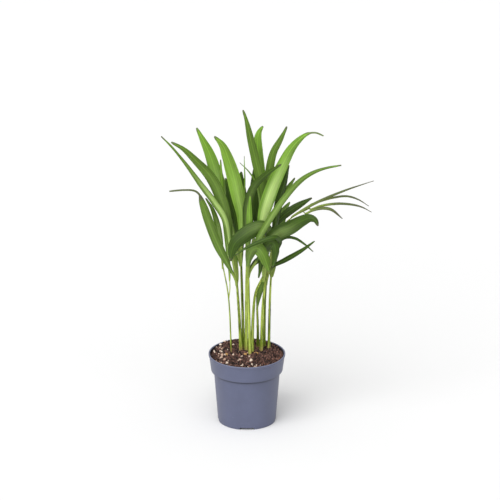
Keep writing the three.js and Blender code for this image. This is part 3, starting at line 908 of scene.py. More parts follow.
def cane_tree():
    """A round shoot along a guide curve, with long ridges in its skin."""
    tree, nodes, given = new_tree("round_cane", [
        ("Centre line", "Object"), ("Sides", "Int"), ("Ridge depth", "Float"), ("Paleness", "Float"),
        ("Seed", "Float"), ("Finish", "Material")])
    guide = nodes.geometry("ObjectInfo", Object=given["Centre line"])["Geometry"]
    section = nodes.geometry("CurvePrimitiveCircle", Resolution=given["Sides"], Radius=1)[0]
    section = nodes.keep(section, "turn", nodes.geometry("SplineParameter")["Factor"])
    tube = nodes.geometry("CurveToMesh", Curve=guide, Profile_Curve=section, Fill_Caps=True,
                          Scale=nodes.geometry("InputRadius")[0])[0]
    angle = nodes.times(nodes.named("turn"), 2 * math.pi)
    ridge = nodes.math("SINE", nodes.times_plus(angle, 5, given["Seed"]))
    rough = nodes.noise(nodes.geometry("InputPosition")[0], 90, 2)
    depth = nodes.times(nodes.times_plus(rough, 1.6, ridge), given["Ridge depth"])
    offset = nodes.vector("SCALE", nodes.geometry("InputNormal")[0], scale=depth)
    ridged = nodes.geometry("SetPosition", Geometry=tube, Offset=offset)[0]
    soft = nodes.geometry("SetShadeSmooth", Geometry=ridged)[0]
    end_tree(nodes, nodes.keep(soft, "paleness", given["Paleness"]), given["Finish"])
    return tree


def cane_skin(cane):
    """Living cane: long pale and dark streaks, tan foot and brown flecks."""
    material, nodes, shader = surface(
        "cane_skin", 0.45, Subsurface_Weight=0.06, Specular_IOR_Level=0.22,
        Subsurface_Radius=(0.3, 0.5, 0.1), Subsurface_Scale=0.002)
    x, y, z = nodes.separate(object_place(nodes))
    streak = nodes.noise(nodes.combine(x, y, nodes.times(z, 0.035)), 620, 3, 0.6)
    wide = nodes.noise(nodes.combine(x, y, nodes.times(z, 0.2)), 120, 2)
    fleck = nodes.span(nodes.noise(nodes.combine(x, y, nodes.times(z, 0.3)), 900, 3), 0.66, 0.74)
    low = nodes.span(nodes.times_plus(wide, 0.04, z), 0.143, 0.128)
    paleness = attribute(nodes, "paleness", "Fac")
    green, shade, pale, foot = (colour_of(item) for item in (cane.green, cane.shade, cane.pale, cane.foot))
    tone = nodes.layers(
        nodes.blend(nodes.span(wide, 0.35, 0.65), scaled(green, 0.8), scaled(green, 1.1)),
        (nodes.times_plus(paleness, -0.75, 0.6, clamp=True), shade),
        (nodes.times_plus(paleness, 0.6, -0.12, clamp=True), pale),
        (nodes.times(nodes.span(streak, 0.5, 0.58), nodes.times_plus(paleness, 0.6, 0.35)), pale),
        (nodes.times(nodes.span(streak, 0.46, 0.38), nodes.times_plus(paleness, -0.3, 0.95)), shade),
        (nodes.times(low, 0.85), nodes.blend(nodes.span(streak, 0.4, 0.6), scaled(foot, 0.5), foot)),
        (nodes.times(fleck, nodes.times_plus(low, 0.6, 0.14)), linear(96, 66, 40)))
    dress(nodes, shader, tone, streak, 0.0002, nodes.times_plus(streak, 0.2, 0.3))
    return material


def cane_radii(length_m, steps, foot, top, seed, thin):
    """Radius at even steps, with a slight swelling at each joint and a flared foot."""
    rng = random.Random(seed)
    joints = [] if thin else [rng.uniform(0.16, 0.3), rng.uniform(0.48, 0.66)]
    radii = []
    for step in range(steps):
        share = step / (steps - 1)
        radius = foot + (top - foot) * share
        radius *= 1 + 0.16 * math.exp(-((share * length_m - 16 * MM) / (7 * MM)) ** 2) * (not thin)
        for joint in joints:
            away = (share - joint) * length_m / (1.6 * MM)
            radius *= 1 + 0.09 * math.exp(-away ** 2) - 0.07 * math.exp(-((away - 2.4) / 1.2) ** 2)
        radii.append(radius * MM)
    return radii


class PALM_OT_canes(bpy.types.Operator):
    """Raises the canes and the stalk of the feathered leaf"""
    bl_idname = "palm.canes"
    bl_label = "Canes"

    def execute(self, context):
        cane = context.scene.palm_cane
        tree = cane_tree()
        skin = cane_skin(cane)
        for seed, (name, (points, foot, top)) in enumerate(CANES.items()):
            thin = name in THIN
            path, run = smooth_path(points, CANE_STEPS)
            guide = guide_curve(name + "_line", path, cane_radii(run, CANE_STEPS, foot, top, seed, thin))
            piece = run_tree(tree, name + "_skin", {
                "Centre line": guide, "Sides": cane.sides, "Ridge depth": cane.ridge * (0.4 if thin else 1),
                "Paleness": PALENESS.get(name, 0.4), "Seed": seed * 1.7, "Finish": skin})
            drop(guide)
            finish_piece(piece, [name])
        return {"FINISHED"}

# ------------------------------------------------------------------ leaves

# Name, tone, midrib points in millimetres from the cane out, and the blade's shape:
#   width  widest part          stalk  share of the length that stays a stalk
#   peak   where it is widest   point  how long it keeps its width before the tip
#   round  how blunt the tip is, from 1 for a straight taper down to 0
#   tail   share at the tip that is a dried thread
#   pale   share of pale colour down the middle of the blade, partly the leaf's own paleness and partly painted sheen
#   fresh  from -1 for darker green to 1 for yellower green
#   turn   degrees that the upper face turns from the front (-Y) towards +X, at foot and tip
LEAVES = [
    ("leaf_left_long", "middle", [(-17, -1, 236), (-26, -7, 295), (-34, -13, 343), (-49, -17, 371),
      (-69, -21, 401), (-93, -26, 438), (-113, -30, 466), (-132, -34, 488)],
     dict(width=11.5, stalk=0.12, point=1.5, round=1, pale=0.75, turn=(10, 30))),
    ("leaf_left_broad", "middle", [(-15, 2.6, 236), (-25, 2, 296), (-33, 0, 347), (-43, -3, 382),
      (-57, -5, 411), (-77, -6, 435), (-98, -5, 456), (-117, -4, 467)],
     dict(width=19, stalk=0.15, peak=0.5, pale=0.15, fresh=-0.3, turn=(5, 10))),
    ("leaf_left_upright", "bright", [(-12.4, 16.4, 262), (-25, 18, 315), (-36, 21, 361), (-47, 23, 400),
      (-58, 24, 437), (-69, 25, 461), (-78, 26, 479)],
     dict(width=22, stalk=0.1, peak=0.55, pale=0.85, fresh=0, turn=(-10, 5))),
    ("leaf_left_inner", "bright", [(-9, 12.6, 262), (-8, 5, 317), (-8, -1, 349), (-14, -6, 382),
      (-22, -9, 418), (-30, -13, 447), (-38, -17, 468), (-50, -21, 483)],
     dict(width=23, stalk=0.12, peak=0.55, point=2.2, pale=0.3, turn=(0, 15))),
    ("leaf_left_folded", "middle", [(-17.5, -3.4, 236), (-29, -10, 264), (-45, -17, 301),
      (-59, -23, 342), (-69, -27, 375), (-74, -28, 390), (-81, -29, 396), (-98, -31, 398),
      (-120, -34, 397)],
     dict(width=15, stalk=0.04, peak=0.35, point=4, round=0.5, tail=0.24, pale=0.08, fresh=-0.3, turn=(0,
          0))),
    ("leaf_left_narrow", "middle", [(-38, 0, 263), (-40, -1, 292), (-46, -2, 330), (-54, -4, 357),
      (-64, -5, 374)],
     dict(width=9.5, peak=0.5, pale=0.4, turn=(0, 10))),
    ("leaf_inner_left", "bright", [(-27, 6.5, 240), (-32, 10, 315), (-36, 14, 352), (-38, 16, 388),
      (-41, 16, 430)],
     dict(width=9, pale=0.7, turn=(0, 20))),
    ("leaf_inner_dark", "deep", [(-10, 15, 262), (-13, 12, 298), (-16, 11, 328), (-25, 11, 365),
      (-33, 9, 402)],
     dict(width=13, stalk=0.2, peak=0.6, pale=0, fresh=-0.8, turn=(0, 10))),
    ("leaf_tall", "middle", [(30, 5.4, 240.5), (27, 8, 299), (24, 11, 348), (20, 13, 398),
      (13, 16, 432), (5, 18, 466), (-1, 19, 494), (-6, 20, 511)],
     dict(width=14.5, stalk=0.3, peak=0.66, pale=0.05, fresh=-0.3, turn=(10, -10))),
    ("leaf_tall_back", "bright", [(31, 28.4, 224.5), (30, 30, 297), (26, 34, 347), (21, 38, 396),
      (17, 41, 433), (17, 43, 456), (20, 45, 467), (25, 46, 474)],
     dict(width=17, stalk=0.35, peak=0.75, point=2.6, pale=0.3, fresh=0, turn=(0, 0))),
    ("leaf_right_upright", "middle", [(29, 25.6, 224.5), (30, 25, 300), (30, 27, 358), (34, 29, 403),
      (41, 32, 436), (52, 35, 457), (62, 37, 477)],
     dict(width=13.5, stalk=0.3, peak=0.7, point=2.2, pale=0.1, fresh=-0.3, turn=(0, -15))),
    ("leaf_crossing", "deep", [(0.4, 7.4, 267.5), (-1, 3, 301), (-1, -3, 337), (2, -12, 369),
      (11, -25, 401), (25, -40, 423), (39, -48, 438), (53, -55, 450)],
     dict(width=14, stalk=0.15, peak=0.5, pale=0.15, fresh=0.3, turn=(0, 10))),
    ("leaf_centre_upright", "bright", [(0, 4.6, 267.5), (3, -4, 304), (4, -12, 330), (4, -19, 357),
      (5, -25, 386)],
     dict(width=9.5, peak=0.6, pale=0.4, turn=(0, 0))),
    ("leaf_centre_tall", "deep", [(-0.3, 12, 267.5), (2, 14, 300), (6, 17, 342), (10, 20, 378),
      (11, 23, 412)],
     dict(width=15, stalk=0.2, peak=0.6, pale=0.05, turn=(0, 0))),
    ("spear_left", "bright", [(-9.4, 17.2, 262), (-6, 15, 316), (-5, 13, 356), (-3, 10, 394),
      (-4, 6, 440)],
     dict(width=4, pale=0.6, turn=(20, 40))),
    ("spear_right", "middle", [(0.8, 9.4, 267.5), (8, 9, 293), (19, 6, 338), (19, 5, 371), (12, 3, 400),
      (2, 1, 417), (-11, -2, 432)],
     dict(width=4.2, pale=0.5, turn=(-20, -30))),
    ("leaf_arching", "bright", [(25.6, -7, 244.5), (22, -10, 296), (24, -14, 341), (31, -22, 373),
      (41, -28, 406), (53, -33, 436), (69, -38, 470), (83, -42, 488), (94, -45, 497), (106, -49, 500),
      (118, -52, 496)],
     dict(width=22, stalk=0.17, peak=0.45, point=2.2, tail=0.07, pale=0.9, fresh=-0.8, turn=(0, 0))),
    ("leaf_arching_back", "deep", [(33, 7.6, 241), (39, 6, 286), (45, 1, 335), (52, -5, 378),
      (59, -9, 405), (65, -13, 432)],
     dict(width=14, stalk=0.3, peak=0.65, pale=0.05, fresh=-0.7, turn=(0, 20))),
    ("leaf_right_short", "middle", [(36.4, 14.6, 243.5), (39, 12, 287), (44, 9, 332), (52, 4, 364),
      (62, -2, 387), (74, -8, 409)],
     dict(width=11, stalk=0.3, peak=0.7, pale=0.7, fresh=0, turn=(0, 0))),
    ("leaf_right_slender", "middle", [(2, -9.4, 252.5), (6, -18, 279), (15, -31, 310), (28, -38, 339),
      (42, -38, 363), (62, -33, 391), (83, -31, 414), (103, -30, 427), (123, -29, 434),
      (146, -28, 438)],
     dict(width=10.5, stalk=0.06, peak=0.3, point=3, round=0.9, pale=0.2, fresh=-0.5, turn=(0, -10))),
    ("leaf_right_dark", "deep", [(38.6, 17.8, 243.5), (41, 17, 295), (47, 18, 324), (62, 20, 339),
      (81, 24, 351), (101, 27, 362)],
     dict(width=13, stalk=0.4, peak=0.72, pale=0, fresh=-1, turn=(0, 0))),
    ("leaflet_end_long", "olive", [(69, -17, 347), (87, -21, 361), (104, -23, 372), (129, -27, 386),
      (160, -32, 401), (196, -38, 416)],
     dict(width=4.4, peak=0.3, round=1, pale=0, turn=(0, 0))),
    ("leaflet_end_upper", "olive", [(97, -15, 366), (112, -17, 373), (132, -21, 381), (154, -24, 385),
      (171, -26, 381), (189, -28, 370)],
     dict(width=3.2, peak=0.5, round=0.8, pale=0, turn=(0, 0))),
    ("leaflet_end_lower", "olive", [(99, -21, 362), (115, -24, 369), (137, -28, 374), (157, -32, 375),
      (176, -35, 372), (193, -38, 364)],
     dict(width=4, peak=0.4, round=0.8, pale=0, turn=(0, 0))),
    ("leaflet_end_short", "olive", [(91, -21, 355), (103, -24, 362), (117, -29, 367), (131, -33, 366),
      (148, -38, 353)],
     dict(width=5.2, pale=0.1, turn=(0, 0))),
    ("leaf_right_hooked", "deep", [(27.6, -9.6, 244.5), (30, -15, 278), (35, -24, 308), (50, -26, 325),
      (67, -30, 335), (86, -36, 349), (97, -40, 355), (106, -44, 353), (110, -48, 345)],
     dict(width=24, stalk=0.2, peak=0.5, point=2.2, pale=0.3, turn=(0, 0))),
    ("leaf_low_curled", "deep", [(42.6, 17, 243.5), (47, 8, 275), (51, 0, 300), (61, -6, 309),
      (75, -10, 309), (89, -13, 301), (103, -16, 289)],
     dict(width=5.5, stalk=0.2, pale=0.1, fresh=-0.4, turn=(0, 0))),
    ("leaf_low_right", "deep", [(38.4, 11.6, 243.5), (41, 3, 257), (58, -5, 270), (75, -12, 283),
      (90, -19, 296), (105, -24, 310)],
     dict(width=8, pale=0, fresh=-0.7, turn=(0, 0))),
    ("leaf_drooping_left", "deep", [(32.4, 4.2, 241), (32, -4, 287), (34, -14, 318), (23, -23, 332),
      (8, -28, 330), (-6, -32, 322), (-18, -36, 312), (-24, -38, 297), (-25, -40, 283)],
     dict(width=25, stalk=0.25, peak=0.65, point=2.4, pale=0.25, turn=(0, -10))),
    ("leaf_band_left", "deep", [(41.4, 14, 243.5), (42, 11, 262), (46, -4, 284), (49, -22, 300),
      (51, -36, 315), (45, -46, 325), (34, -50, 325), (19, -52, 320), (-1, -54, 311), (-17, -56, 300)],
     dict(width=7.5, stalk=0.2, peak=0.6, pale=0, fresh=-0.7, turn=(0, 0))),
    ("leaf_drooping_right", "deep", [(4.8, -8.6, 252.5), (16, -22, 277), (27, -31, 297), (35, -39, 312),
      (41, -43, 314), (45, -47, 304), (44, -48, 291), (40, -49, 277)],
     dict(width=16, stalk=0.2, peak=0.6, pale=0.05, fresh=-0.6, turn=(0, 20))),
    ("leaf_drooping_front", "middle", [(1.2, -12, 252.5), (3, -28, 280), (9, -39, 301), (17, -46, 307),
      (25, -51, 299), (30, -54, 287), (35, -55, 271)],
     dict(width=20, stalk=0.1, peak=0.6, point=2.2, pale=0.1, turn=(0, 15))),
    ("leaf_low_small", "deep", [(3.6, -5.4, 252.5), (15, -13, 272), (21, -19, 276), (21, -25, 265),
      (18, -28, 250)],
     dict(width=9, pale=0, fresh=-0.9, turn=(0, 0))),
    ("leaf_young_strap", "middle", [(16, 22, 179.5), (19, 15, 205), (27, 10, 233), (32, 9, 255)],
     dict(width=9.5, pale=0.1, turn=(-10, 10))),
    ("leaf_back_left", "deep", [(-8.2, 19.4, 262), (-10, 26, 317), (-9, 34, 355), (-9, 44, 399)],
     dict(width=20, peak=0.6, pale=0, turn=(0, 0))),
    ("leaf_back_centre", "deep", [(29, 30.8, 224.5), (24, 41, 299), (16, 50, 339), (9, 60, 372)],
     dict(width=22, stalk=0.3, peak=0.65, pale=0.1, turn=(10, -10))),
    ("leaf_back_right", "middle", [(39, 20.6, 243.5), (48, 38, 296), (58, 56, 328), (67, 72, 337)],
     dict(width=16, stalk=0.2, peak=0.6, pale=0.1, turn=(0, 10))),
    ("leaf_back_far_left", "middle", [(-14.6, 4.6, 236), (-20, 28, 288), (-30, 48, 318),
      (-42, 66, 327)],
     dict(width=16, stalk=0.2, peak=0.6, pale=0.1, turn=(0, -10))),
    ("leaf_back_low", "middle", [(31, 33.4, 224.5), (25, 50, 276), (18, 72, 306), (12, 92, 314)],
     dict(width=14, stalk=0.2, peak=0.6, pale=0.1, turn=(10, 0))),
]


def blade_width(along, stalk_width, shape):
    """Full width in millimetres at a share of the blade's length."""
    width, stalk, peak = shape["width"], shape.get("stalk", 0), shape.get("peak", 0.45)
    tail = shape.get("tail", 0)
    if along <= stalk:
        return stalk_width
    if along <= peak:
        rise = math.sin((along - stalk) / (peak - stalk) * math.pi / 2)
        return stalk_width + (width - stalk_width) * rise
    thread = 1.4 * (2 - along) if tail else 0.35
    fall = min(1, (along - peak) / (1 - tail - peak))
    blade = width * (1 - fall ** shape.get("point", 1.8)) ** shape.get("round", 0.7)
    return max(thread * (1 if along < 0.985 else 0.4), blade)


def blade_tree():
    """A folded blade along a guide curve: ribs, waving edges, convex halves, real thickness."""
    tree, nodes, given = new_tree("folded_blade", [
        ("Midrib", "Object"), ("Across", "Int"), ("Along", "Int"), ("Half width", "Float"),
        ("Thickness", "Float"), ("Stalk thickness", "Float"), ("Fold", "Float"), ("Stalk fold", "Float"),
        ("Face lift", "Float"), ("Turn at foot", "Float"), ("Turn at tip", "Float"), ("Rib gap", "Float"),
        ("Rib height", "Float"), ("Wave", "Float"), ("Curl", "Float"),
        ("Paleness", "Float"), ("Freshness", "Float"),
        ("Dry share", "Float"), ("Seed", "Float"), ("Finish", "Material")])
    guide = nodes.geometry("ObjectInfo", Object=given["Midrib"])["Geometry"]
    grid = nodes.geometry("MeshGrid", Vertices_X=given["Across"], Vertices_Y=given["Along"])["Mesh"]
    x, y, _ = nodes.separate(nodes.geometry("InputPosition")[0])
    u = nodes.times(x, 2)
    v = nodes.plus(y, 0.5, clamp=True)
    side_share = nodes.math("ABSOLUTE", u)
    sample = nodes.geometry("SampleCurve", {"mode": "FACTOR", "data_type": "FLOAT"}, Curves=guide,
                            Value=nodes.geometry("InputRadius")[0], Factor=v)
    half = sample["Value"]
    tangent = nodes.vector("NORMALIZE", sample["Tangent"])
    angle = nodes.span(v, 0.0, 1.0, given["Turn at foot"], given["Turn at tip"], smooth=False)
    face = nodes.combine(nodes.math("SINE", angle), nodes.times(nodes.math("COSINE", angle), -1),
                         given["Face lift"])
    side = nodes.vector("NORMALIZE", nodes.vector("CROSS_PRODUCT", tangent, nodes.vector("NORMALIZE", face)))
    normal = nodes.vector("CROSS_PRODUCT", side, tangent)
    broad = nodes.math("DIVIDE", half, given["Half width"], clamp=True)
    fold = nodes.span(broad, 0.0, 1.0, given["Stalk fold"], given["Fold"], smooth=False)
    reach = nodes.times(u, half)
    out_way = nodes.times(reach, nodes.math("COSINE", fold))
    back_way = nodes.times(nodes.math("ABSOLUTE", reach), nodes.math("SINE", fold))
    arch = nodes.times(nodes.times(side_share, nodes.minus(1.0, side_share)),
                      nodes.times(half, given["Curl"]))
    rib_turn = nodes.times(nodes.math("DIVIDE", reach, given["Rib gap"]), 2 * math.pi)
    rib = nodes.times(nodes.math("COSINE", rib_turn), nodes.times(given["Rib height"], broad))
    seam = nodes.times(nodes.math("DIVIDE", reach, 0.0007), nodes.math("DIVIDE", reach, 0.0007))
    groove = nodes.times(nodes.math("EXPONENT", nodes.times(seam, -1)), -0.0003)
    ripple = nodes.noise(nodes.combine(nodes.math("SIGN", u), nodes.times(v, 7), given["Seed"]), 1.0, 2)
    wave = nodes.times(nodes.minus(ripple, 0.5), nodes.times(given["Wave"], 2))
    wave = nodes.times(wave, nodes.times(nodes.times(side_share, side_share), broad))
    sway = nodes.noise(nodes.combine(nodes.times(v, 4), given["Seed"], 5.0), 1.0, 1)
    sway = nodes.times(nodes.minus(sway, 0.5), nodes.times(given["Wave"], 0.8))
    thick = nodes.span(broad, 0.1, 0.45, given["Stalk thickness"], given["Thickness"])
    rise = nodes.minus(arch, back_way)
    for part in (rib, groove, wave, sway, nodes.times(thick, -0.5)):
        rise = nodes.plus(rise, part)
    place = nodes.vector("ADD", sample["Position"], nodes.vector("SCALE", side, scale=out_way))
    place = nodes.vector("ADD", place, nodes.vector("SCALE", normal, scale=rise))

    tones = nodes.combine(given["Paleness"], given["Freshness"], given["Dry share"])
    flat = nodes.keep(grid, "blade", nodes.combine(u, v, half), "FLOAT_VECTOR")
    flat = nodes.keep(flat, "tone", tones, "FLOAT_VECTOR")
    flat = nodes.keep(flat, "thick", thick)
    flat = nodes.keep(flat, "under", 1, domain="FACE")
    shaped = nodes.geometry("SetPosition", Geometry=flat, Position=place)[0]

    upper = nodes.geometry("ExtrudeMesh", {"mode": "FACES"}, Mesh=shaped, Individual=False,
                           Offset_Scale=nodes.named("thick"))
    outer = nodes.fill(nodes.add("FunctionNodeBooleanMath", operation="OR"), upper["Top"], upper["Side"])[0]
    top = nodes.keep(upper["Mesh"], "under", 0, domain="FACE", Selection=outer)
    lower = nodes.geometry("FlipFaces", Mesh=shaped)[0]
    both = nodes.add("GeometryNodeJoinGeometry")
    for part in (lower, top):
        nodes.put(both.inputs["Geometry"], part)
    closed = nodes.geometry("MergeByDistance", Geometry=both.outputs[0], Distance=0.000002)[0]
    soft = nodes.geometry("SetShadeSmooth", Geometry=closed)[0]
    bend = nodes.geometry("InputMeshEdgeAngle")["Unsigned Angle"]
    rim = nodes.keep(soft, "sharp_edge", nodes.math("GREATER_THAN", bend, 0.9), "BOOLEAN", "EDGE")
    end_tree(nodes, rim, given["Finish"])
    return tree


# Tone: strength of the lighter streaks, partly veins and partly painted highlight, share of the tip that is
# withered, gloss.
TONES = {"bright": (0.65, 0.04, 0.3), "middle": (0.6, 0.04, 0.26), "deep": (0.45, 0.04, 0.24),
         "olive": (0.3, 0.4, 0.2)}


def leaf_skin(leaf, tone):
    """Leaf finish: fine long veins, pale midrib and stalk, a pale middle band that is partly painted sheen,
    mottling, paler underside, dry tip.
    """
    vein_and_highlight_share, dry_share, gloss = TONES[tone]
    material, nodes, shader = surface(
        "leaf_" + tone, 0.5, Subsurface_Weight=0.08, Specular_IOR_Level=gloss,
        Subsurface_Radius=(0.25, 0.5, 0.08), Subsurface_Scale=0.0015)
    place = object_place(nodes)
    u, v, half = nodes.separate(attribute(nodes, "blade"))
    paleness, freshness, tail = nodes.separate(attribute(nodes, "tone"))
    under = attribute(nodes, "under", "Fac")
    across = nodes.times(u, half)
    base, pale, dry = (colour_of(item) for item in (getattr(leaf, tone), leaf.pale, leaf.dry))
    yellow = (min(1, base[0] * 1.35), base[1] * 1.08, base[2] * 0.75)

    def stripes(angle):
        """A wave from 0 to 1."""
        return nodes.times_plus(nodes.math("COSINE", angle), 0.5, 0.5)

    cloud = nodes.noise(place, 26, 3, 0.55)
    streak = nodes.noise(nodes.combine(nodes.times(across, 900), nodes.times(v, 5), cloud), 1.0, 3, 0.6)
    wobble = nodes.times(nodes.noise(place, 60, 2), 1.4)
    vein = stripes(nodes.times_plus(across, 2 * math.pi / leaf.vein_gap, wobble))
    rib = nodes.math("POWER", stripes(nodes.times(across, 2 * math.pi / leaf.rib_gap)), 5)
    middle = nodes.math("EXPONENT", nodes.times(nodes.times(across, across), -1 / MIDRIB_LINE ** 2))
    # pale middle band: partly the leaf's own paleness, partly painted sheen
    broad = nodes.span(nodes.math("ABSOLUTE", nodes.minus(u, 0.15)), 0.95, 0.2)
    pale_band_and_sheen = nodes.times(broad, nodes.span(v, 0.84, 0.42))
    pale_band_and_sheen = nodes.times(pale_band_and_sheen, nodes.times_plus(streak, 1.2, 0.45))
    stalk = nodes.times(nodes.span(half, 0.0028, 0.0013), nodes.span(v, 0.5, 0.25))
    edge = nodes.span(nodes.math("ABSOLUTE", u), 0.9, 1.0)
    ragged = nodes.times_plus(nodes.minus(nodes.noise(place, 160, 3), 0.5), 0.08, v)
    start = nodes.minus(1 - dry_share, tail)
    withered = nodes.span(ragged, start, nodes.plus(start, dry_share))
    fleck = nodes.span(nodes.noise(place, 700, 3, 0.6), 0.7, 0.78)
    tint = nodes.layers(
        nodes.blend(nodes.span(cloud, 0.3, 0.7), scaled(base, 0.8), scaled(base, 1.16)),
        (nodes.times(freshness, 0.7, clamp=True), yellow),
        (nodes.times(freshness, -0.45, clamp=True), scaled(base, 0.55)),
        # lighter and darker streaks: partly the leaf's own veining, partly painted highlight and painted
        # shade
        (nodes.times(nodes.span(streak, 0.42, 0.7), vein_and_highlight_share), scaled(base, 1.45)),
        (nodes.times(nodes.span(streak, 0.5, 0.32), 0.5), scaled(base, 0.55)),
        (nodes.times(vein, 0.2), scaled(base, 0.55)),
        (nodes.times(rib, 0.35), scaled(base, 1.6)),
        (nodes.times(middle, 0.55), scaled(base, 1.9)),
        # pale middle band, partly painted sheen
        (nodes.times(pale_band_and_sheen, paleness, clamp=True), pale),
        (nodes.times(stalk, 0.7), linear(146, 166, 74)),
        (nodes.times(edge, 0.12), scaled(base, 0.62)),
        (nodes.times(under, 0.35), scaled(pale, 0.62)),
        (nodes.times(withered, 0.75), dry),
        (nodes.times(fleck, 0.22), linear(128, 104, 62)))
    rough = nodes.times_plus(under, 0.14, nodes.times_plus(cloud, 0.14, 0.42))
    height = nodes.times_plus(vein, 0.7, nodes.times(rib, 0.8))
    dress(nodes, shader, tint, nodes.times_plus(streak, 0.6, height), 0.00012, rough)
    return material


def leaf_root(first, second):
    """A start point just inside the top of the nearest cane, so that the stalk grows out of it."""
    tops = [Vector(points[-1]) for name, (points, _, _) in CANES.items() if not name.startswith("stalk")]
    rail = smooth_path(CANES["stalk_feathered_leaf"][0], 60)[0]
    start = Vector(first)
    near = min(tops, key=lambda top: (top - start).length)
    if (near - start).length < 9:
        return tuple(near.lerp(start, 0.45) - Vector((0, 0, 9)))
    close = min((point / MM for point in rail), key=lambda point: (point - start).length)
    away = (start - Vector(second)).normalized()
    return tuple(close.lerp(start, 0.2) + away * 2)


class PALM_OT_leaves(bpy.types.Operator):
    """Grows every leaf blade from its cane"""
    bl_idname = "palm.leaves"
    bl_label = "Leaves"

    def execute(self, context):
        leaf = context.scene.palm_leaf
        tree = blade_tree()
        # the bright and deep finishes are partly lit and shaded copies of one leaf finish
        skins = {tone: leaf_skin(leaf, tone) for tone in TONES}
        for seed, (name, tone, points, shape) in enumerate(LEAVES):
            root = leaf_root(points[0], points[1])
            path, run = smooth_path([root, *points], MIDRIB_STEPS)
            lead = (Vector(points[0]) - Vector(root)).length * MM / run
            stalk_width = leaf.stalk_width / MM
            radii = []
            for step in range(len(path)):
                share = step / (len(path) - 1)
                along = max(0, (share - lead) / (1 - lead))
                merge = min(1, 0.4 + 0.6 * share / (lead * 1.4))
                width = blade_width(along, min(stalk_width, shape["width"] * 0.8), shape)
                radii.append(width * merge * MM / 2)
            guide = guide_curve(name + "_midrib", path, radii)
            slim = shape["width"] < 9
            piece = run_tree(tree, name + "_blade", {
                "Midrib": guide, "Across": 9 if slim else 17, "Along": max(40, int(run / (2.6 * MM))),
                "Half width": shape["width"] * MM / 2, "Thickness": leaf.thickness,
                "Stalk thickness": min(leaf.stalk_thickness, shape["width"] * 0.16 * MM),
                "Fold": leaf.fold, "Stalk fold": leaf.stalk_fold, "Face lift": leaf.lift,
                "Turn at foot": math.radians(shape["turn"][0]), "Turn at tip": math.radians(shape["turn"][1]),
                "Rib gap": leaf.rib_gap, "Rib height": leaf.rib, "Wave": leaf.wave * (0.4 if slim else 1),
                "Curl": 0.16, "Paleness": shape["pale"],
                "Freshness": shape.get("fresh", math.sin(seed * 2.4) * 0.4),
                "Dry share": shape.get("tail", 0),
                "Seed": seed * 2.3, "Finish": skins[tone]})
            drop(guide)
            finish_piece(piece, [name])
        return {"FINISHED"}


# ------------------------------------------------------------------ seed husks

# Centre in millimetres, length in millimetres, turn in degrees.
HUSKS = {
    "seed_husk_left": ((-31, 0, 108.6), 11, 40),
    "seed_husk_middle": ((-3, -4, 111.2), 9, -20),
    "seed_husk_right": ((14, 0, 111), 9, 15),
}


def husk_skin(soil):
    """Dry shell: tan with dark fibres along it."""
    material, nodes, shader = surface("seed_shell", 0.82)
    place = object_place(nodes)
    grain = nodes.noise(place, 520, 5, 0.7)
    patch = nodes.noise(place, 180, 2)
    shell = colour_of(soil.husk)
    tone = nodes.blend(nodes.span(grain, 0.4, 0.62), scaled(shell, 0.45), scaled(shell, 1.1))
    tone = nodes.blend(nodes.times(nodes.span(patch, 0.52, 0.66), 0.6), tone, linear(92, 60, 40))
    dress(nodes, shader, tone, grain, 0.0004)
    return material


class PALM_OT_husks(bpy.types.Operator):
    """Half-buries the split seed shells at the feet of the canes"""
    bl_idname = "palm.husks"
    bl_label = "Seed husks"

    def execute(self, context):
        skin = husk_skin(context.scene.palm_soil)
        for seed, (name, (centre, size, turn)) in enumerate(HUSKS.items()):
            bm = bmesh.new()
            bmesh.ops.create_icosphere(bm, subdivisions=4, radius=1)
            for vert in bm.verts:
                spot = vert.co.copy()
                rough = 1 + 0.16 * noise.noise(spot * 2.2 + Vector((seed * 5, 0, 0)))
                rough += 0.05 * math.sin(math.atan2(spot.z, spot.y) * 9)
                split = math.exp(-((spot.y - 0.1 * math.sin(3 * spot.x)) / 0.16) ** 2) * max(0, spot.z)
                rough -= 0.34 * split
                vert.co = Vector((spot.x * 0.5, spot.y * 0.3, spot.z * 0.26)) * rough * size * MM
            bmesh.ops.rotate(bm, verts=bm.verts, matrix=Matrix.Rotation(math.radians(turn), 3, "Z"))
            bmesh.ops.translate(bm, verts=bm.verts, vec=Vector(centre) * MM)
            mesh = mesh_from(name + "_shell", bm, True)
            mesh.materials.append(skin)
            piece = link(bpy.data.objects.new(name + "_shell", mesh))
            finish_piece(piece, [name])
        return {"FINISHED"}


# ------------------------------------------------------------------ stage


def wide_light(name, strength, spread, azimuth, elevation):
    """A soft far light: azimuth in degrees from the front (-Y) towards the right (+X)."""
    data = bpy.data.lights.new(name, "SUN")
    data.energy = strength
    data.angle = math.radians(spread)
    item = link(bpy.data.objects.new(name, data))
    side, rise = math.radians(azimuth), math.radians(elevation)
    place = Vector((math.sin(side) * math.cos(rise), -math.cos(side) * math.cos(rise), math.sin(rise)))
    item.location = place * 2
    item.rotation_euler = place.to_track_quat("Z", "Y").to_euler()


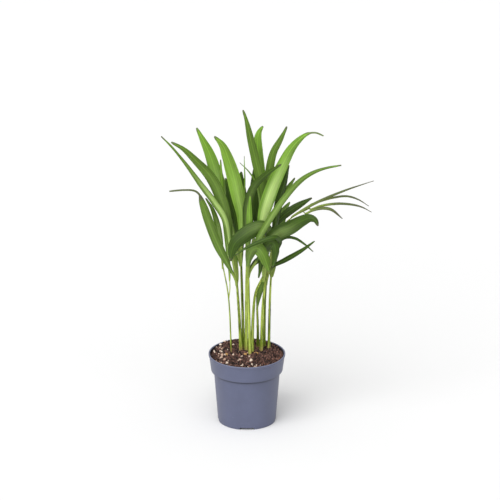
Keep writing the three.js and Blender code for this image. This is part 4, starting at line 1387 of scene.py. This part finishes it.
class PALM_OT_stage(bpy.types.Operator):
    """Sets up the pale floor, the soft lights and the camera"""
    bl_idname = "palm.stage"
    bl_label = "Stage"

    def execute(self, context):
        stage = context.scene.palm_stage
        half = stage.floor_size / 2
        mesh = bpy.data.meshes.new("floor")
        edges = [(-half, -half, 0), (half, -half, 0), (half, half, 0), (-half, half, 0)]
        mesh.from_pydata(edges, [], [(0, 1, 2, 3)])
        material, nodes, shader = surface("pale_floor", 0.9)
        mottle = nodes.noise(object_place(nodes), 3, 2)
        floor = colour_of(stage.floor)
        nodes.put(shader.inputs["Base Color"], nodes.blend(mottle, scaled(floor, 0.995), floor))
        mesh.materials.append(material)
        link(bpy.data.objects.new("floor", mesh))

        world = bpy.data.worlds.new("room")
        world.use_nodes = True
        background = next(node for node in world.node_tree.nodes if node.type == "BACKGROUND")
        background.inputs["Color"].default_value = (1, 1, 1, 1)
        background.inputs["Strength"].default_value = stage.sky
        context.scene.world = world
        wide_light("key", stage.key, 56, -30, 43)
        wide_light("top", stage.top, 70, -20, 78)
        wide_light("front", stage.front, 50, 20, 40)
        context.scene.view_settings.view_transform = "Standard"

        data = bpy.data.cameras.new("camera")
        data.lens = stage.lens
        data.clip_end = 40
        camera = link(bpy.data.objects.new("camera", data))
        tilt = math.radians(stage.elevation)
        aim = Vector((stage.aim_x, 0, stage.aim_z))
        camera.location = aim + stage.distance * Vector((0, -math.cos(tilt), math.sin(tilt)))
        camera.rotation_euler = (aim - camera.location).to_track_quat("-Z", "Y").to_euler()
        context.scene.camera = camera
        return {"FINISHED"}


# ------------------------------------------------------------------ panel and run

OPERATORS = (PALM_OT_stage, PALM_OT_pot, PALM_OT_soil, PALM_OT_husks, PALM_OT_canes, PALM_OT_leaves)


class PALM_PT_panel(bpy.types.Panel):
    """Lists the sizes, the colours and the steps"""
    bl_idname = "PALM_PT_panel"
    bl_label = "Potted palm"
    bl_space_type = "VIEW_3D"
    bl_region_type = "UI"
    bl_category = "Palm"

    def draw(self, context):
        for key, settings in SETTINGS.items():
            box = self.layout.box()
            for name in settings.__annotations__:
                box.prop(getattr(context.scene, key), name)
        for operator in OPERATORS:
            self.layout.operator(operator.bl_idname)


CLASSES = (*SETTINGS.values(), *OPERATORS, PALM_PT_panel)


def register():
    for item in CLASSES:
        bpy.utils.register_class(item)
    for key, settings in SETTINGS.items():
        setattr(bpy.types.Scene, key, PointerProperty(type=settings))


def unregister():
    for key in SETTINGS:
        delattr(bpy.types.Scene, key)
    for item in reversed(CLASSES):
        bpy.utils.unregister_class(item)


def main():
    register()
    for operator in OPERATORS:
        family, name = operator.bl_idname.split(".")
        getattr(getattr(bpy.ops, family), name)()


if __name__ == "__main__":
    main()
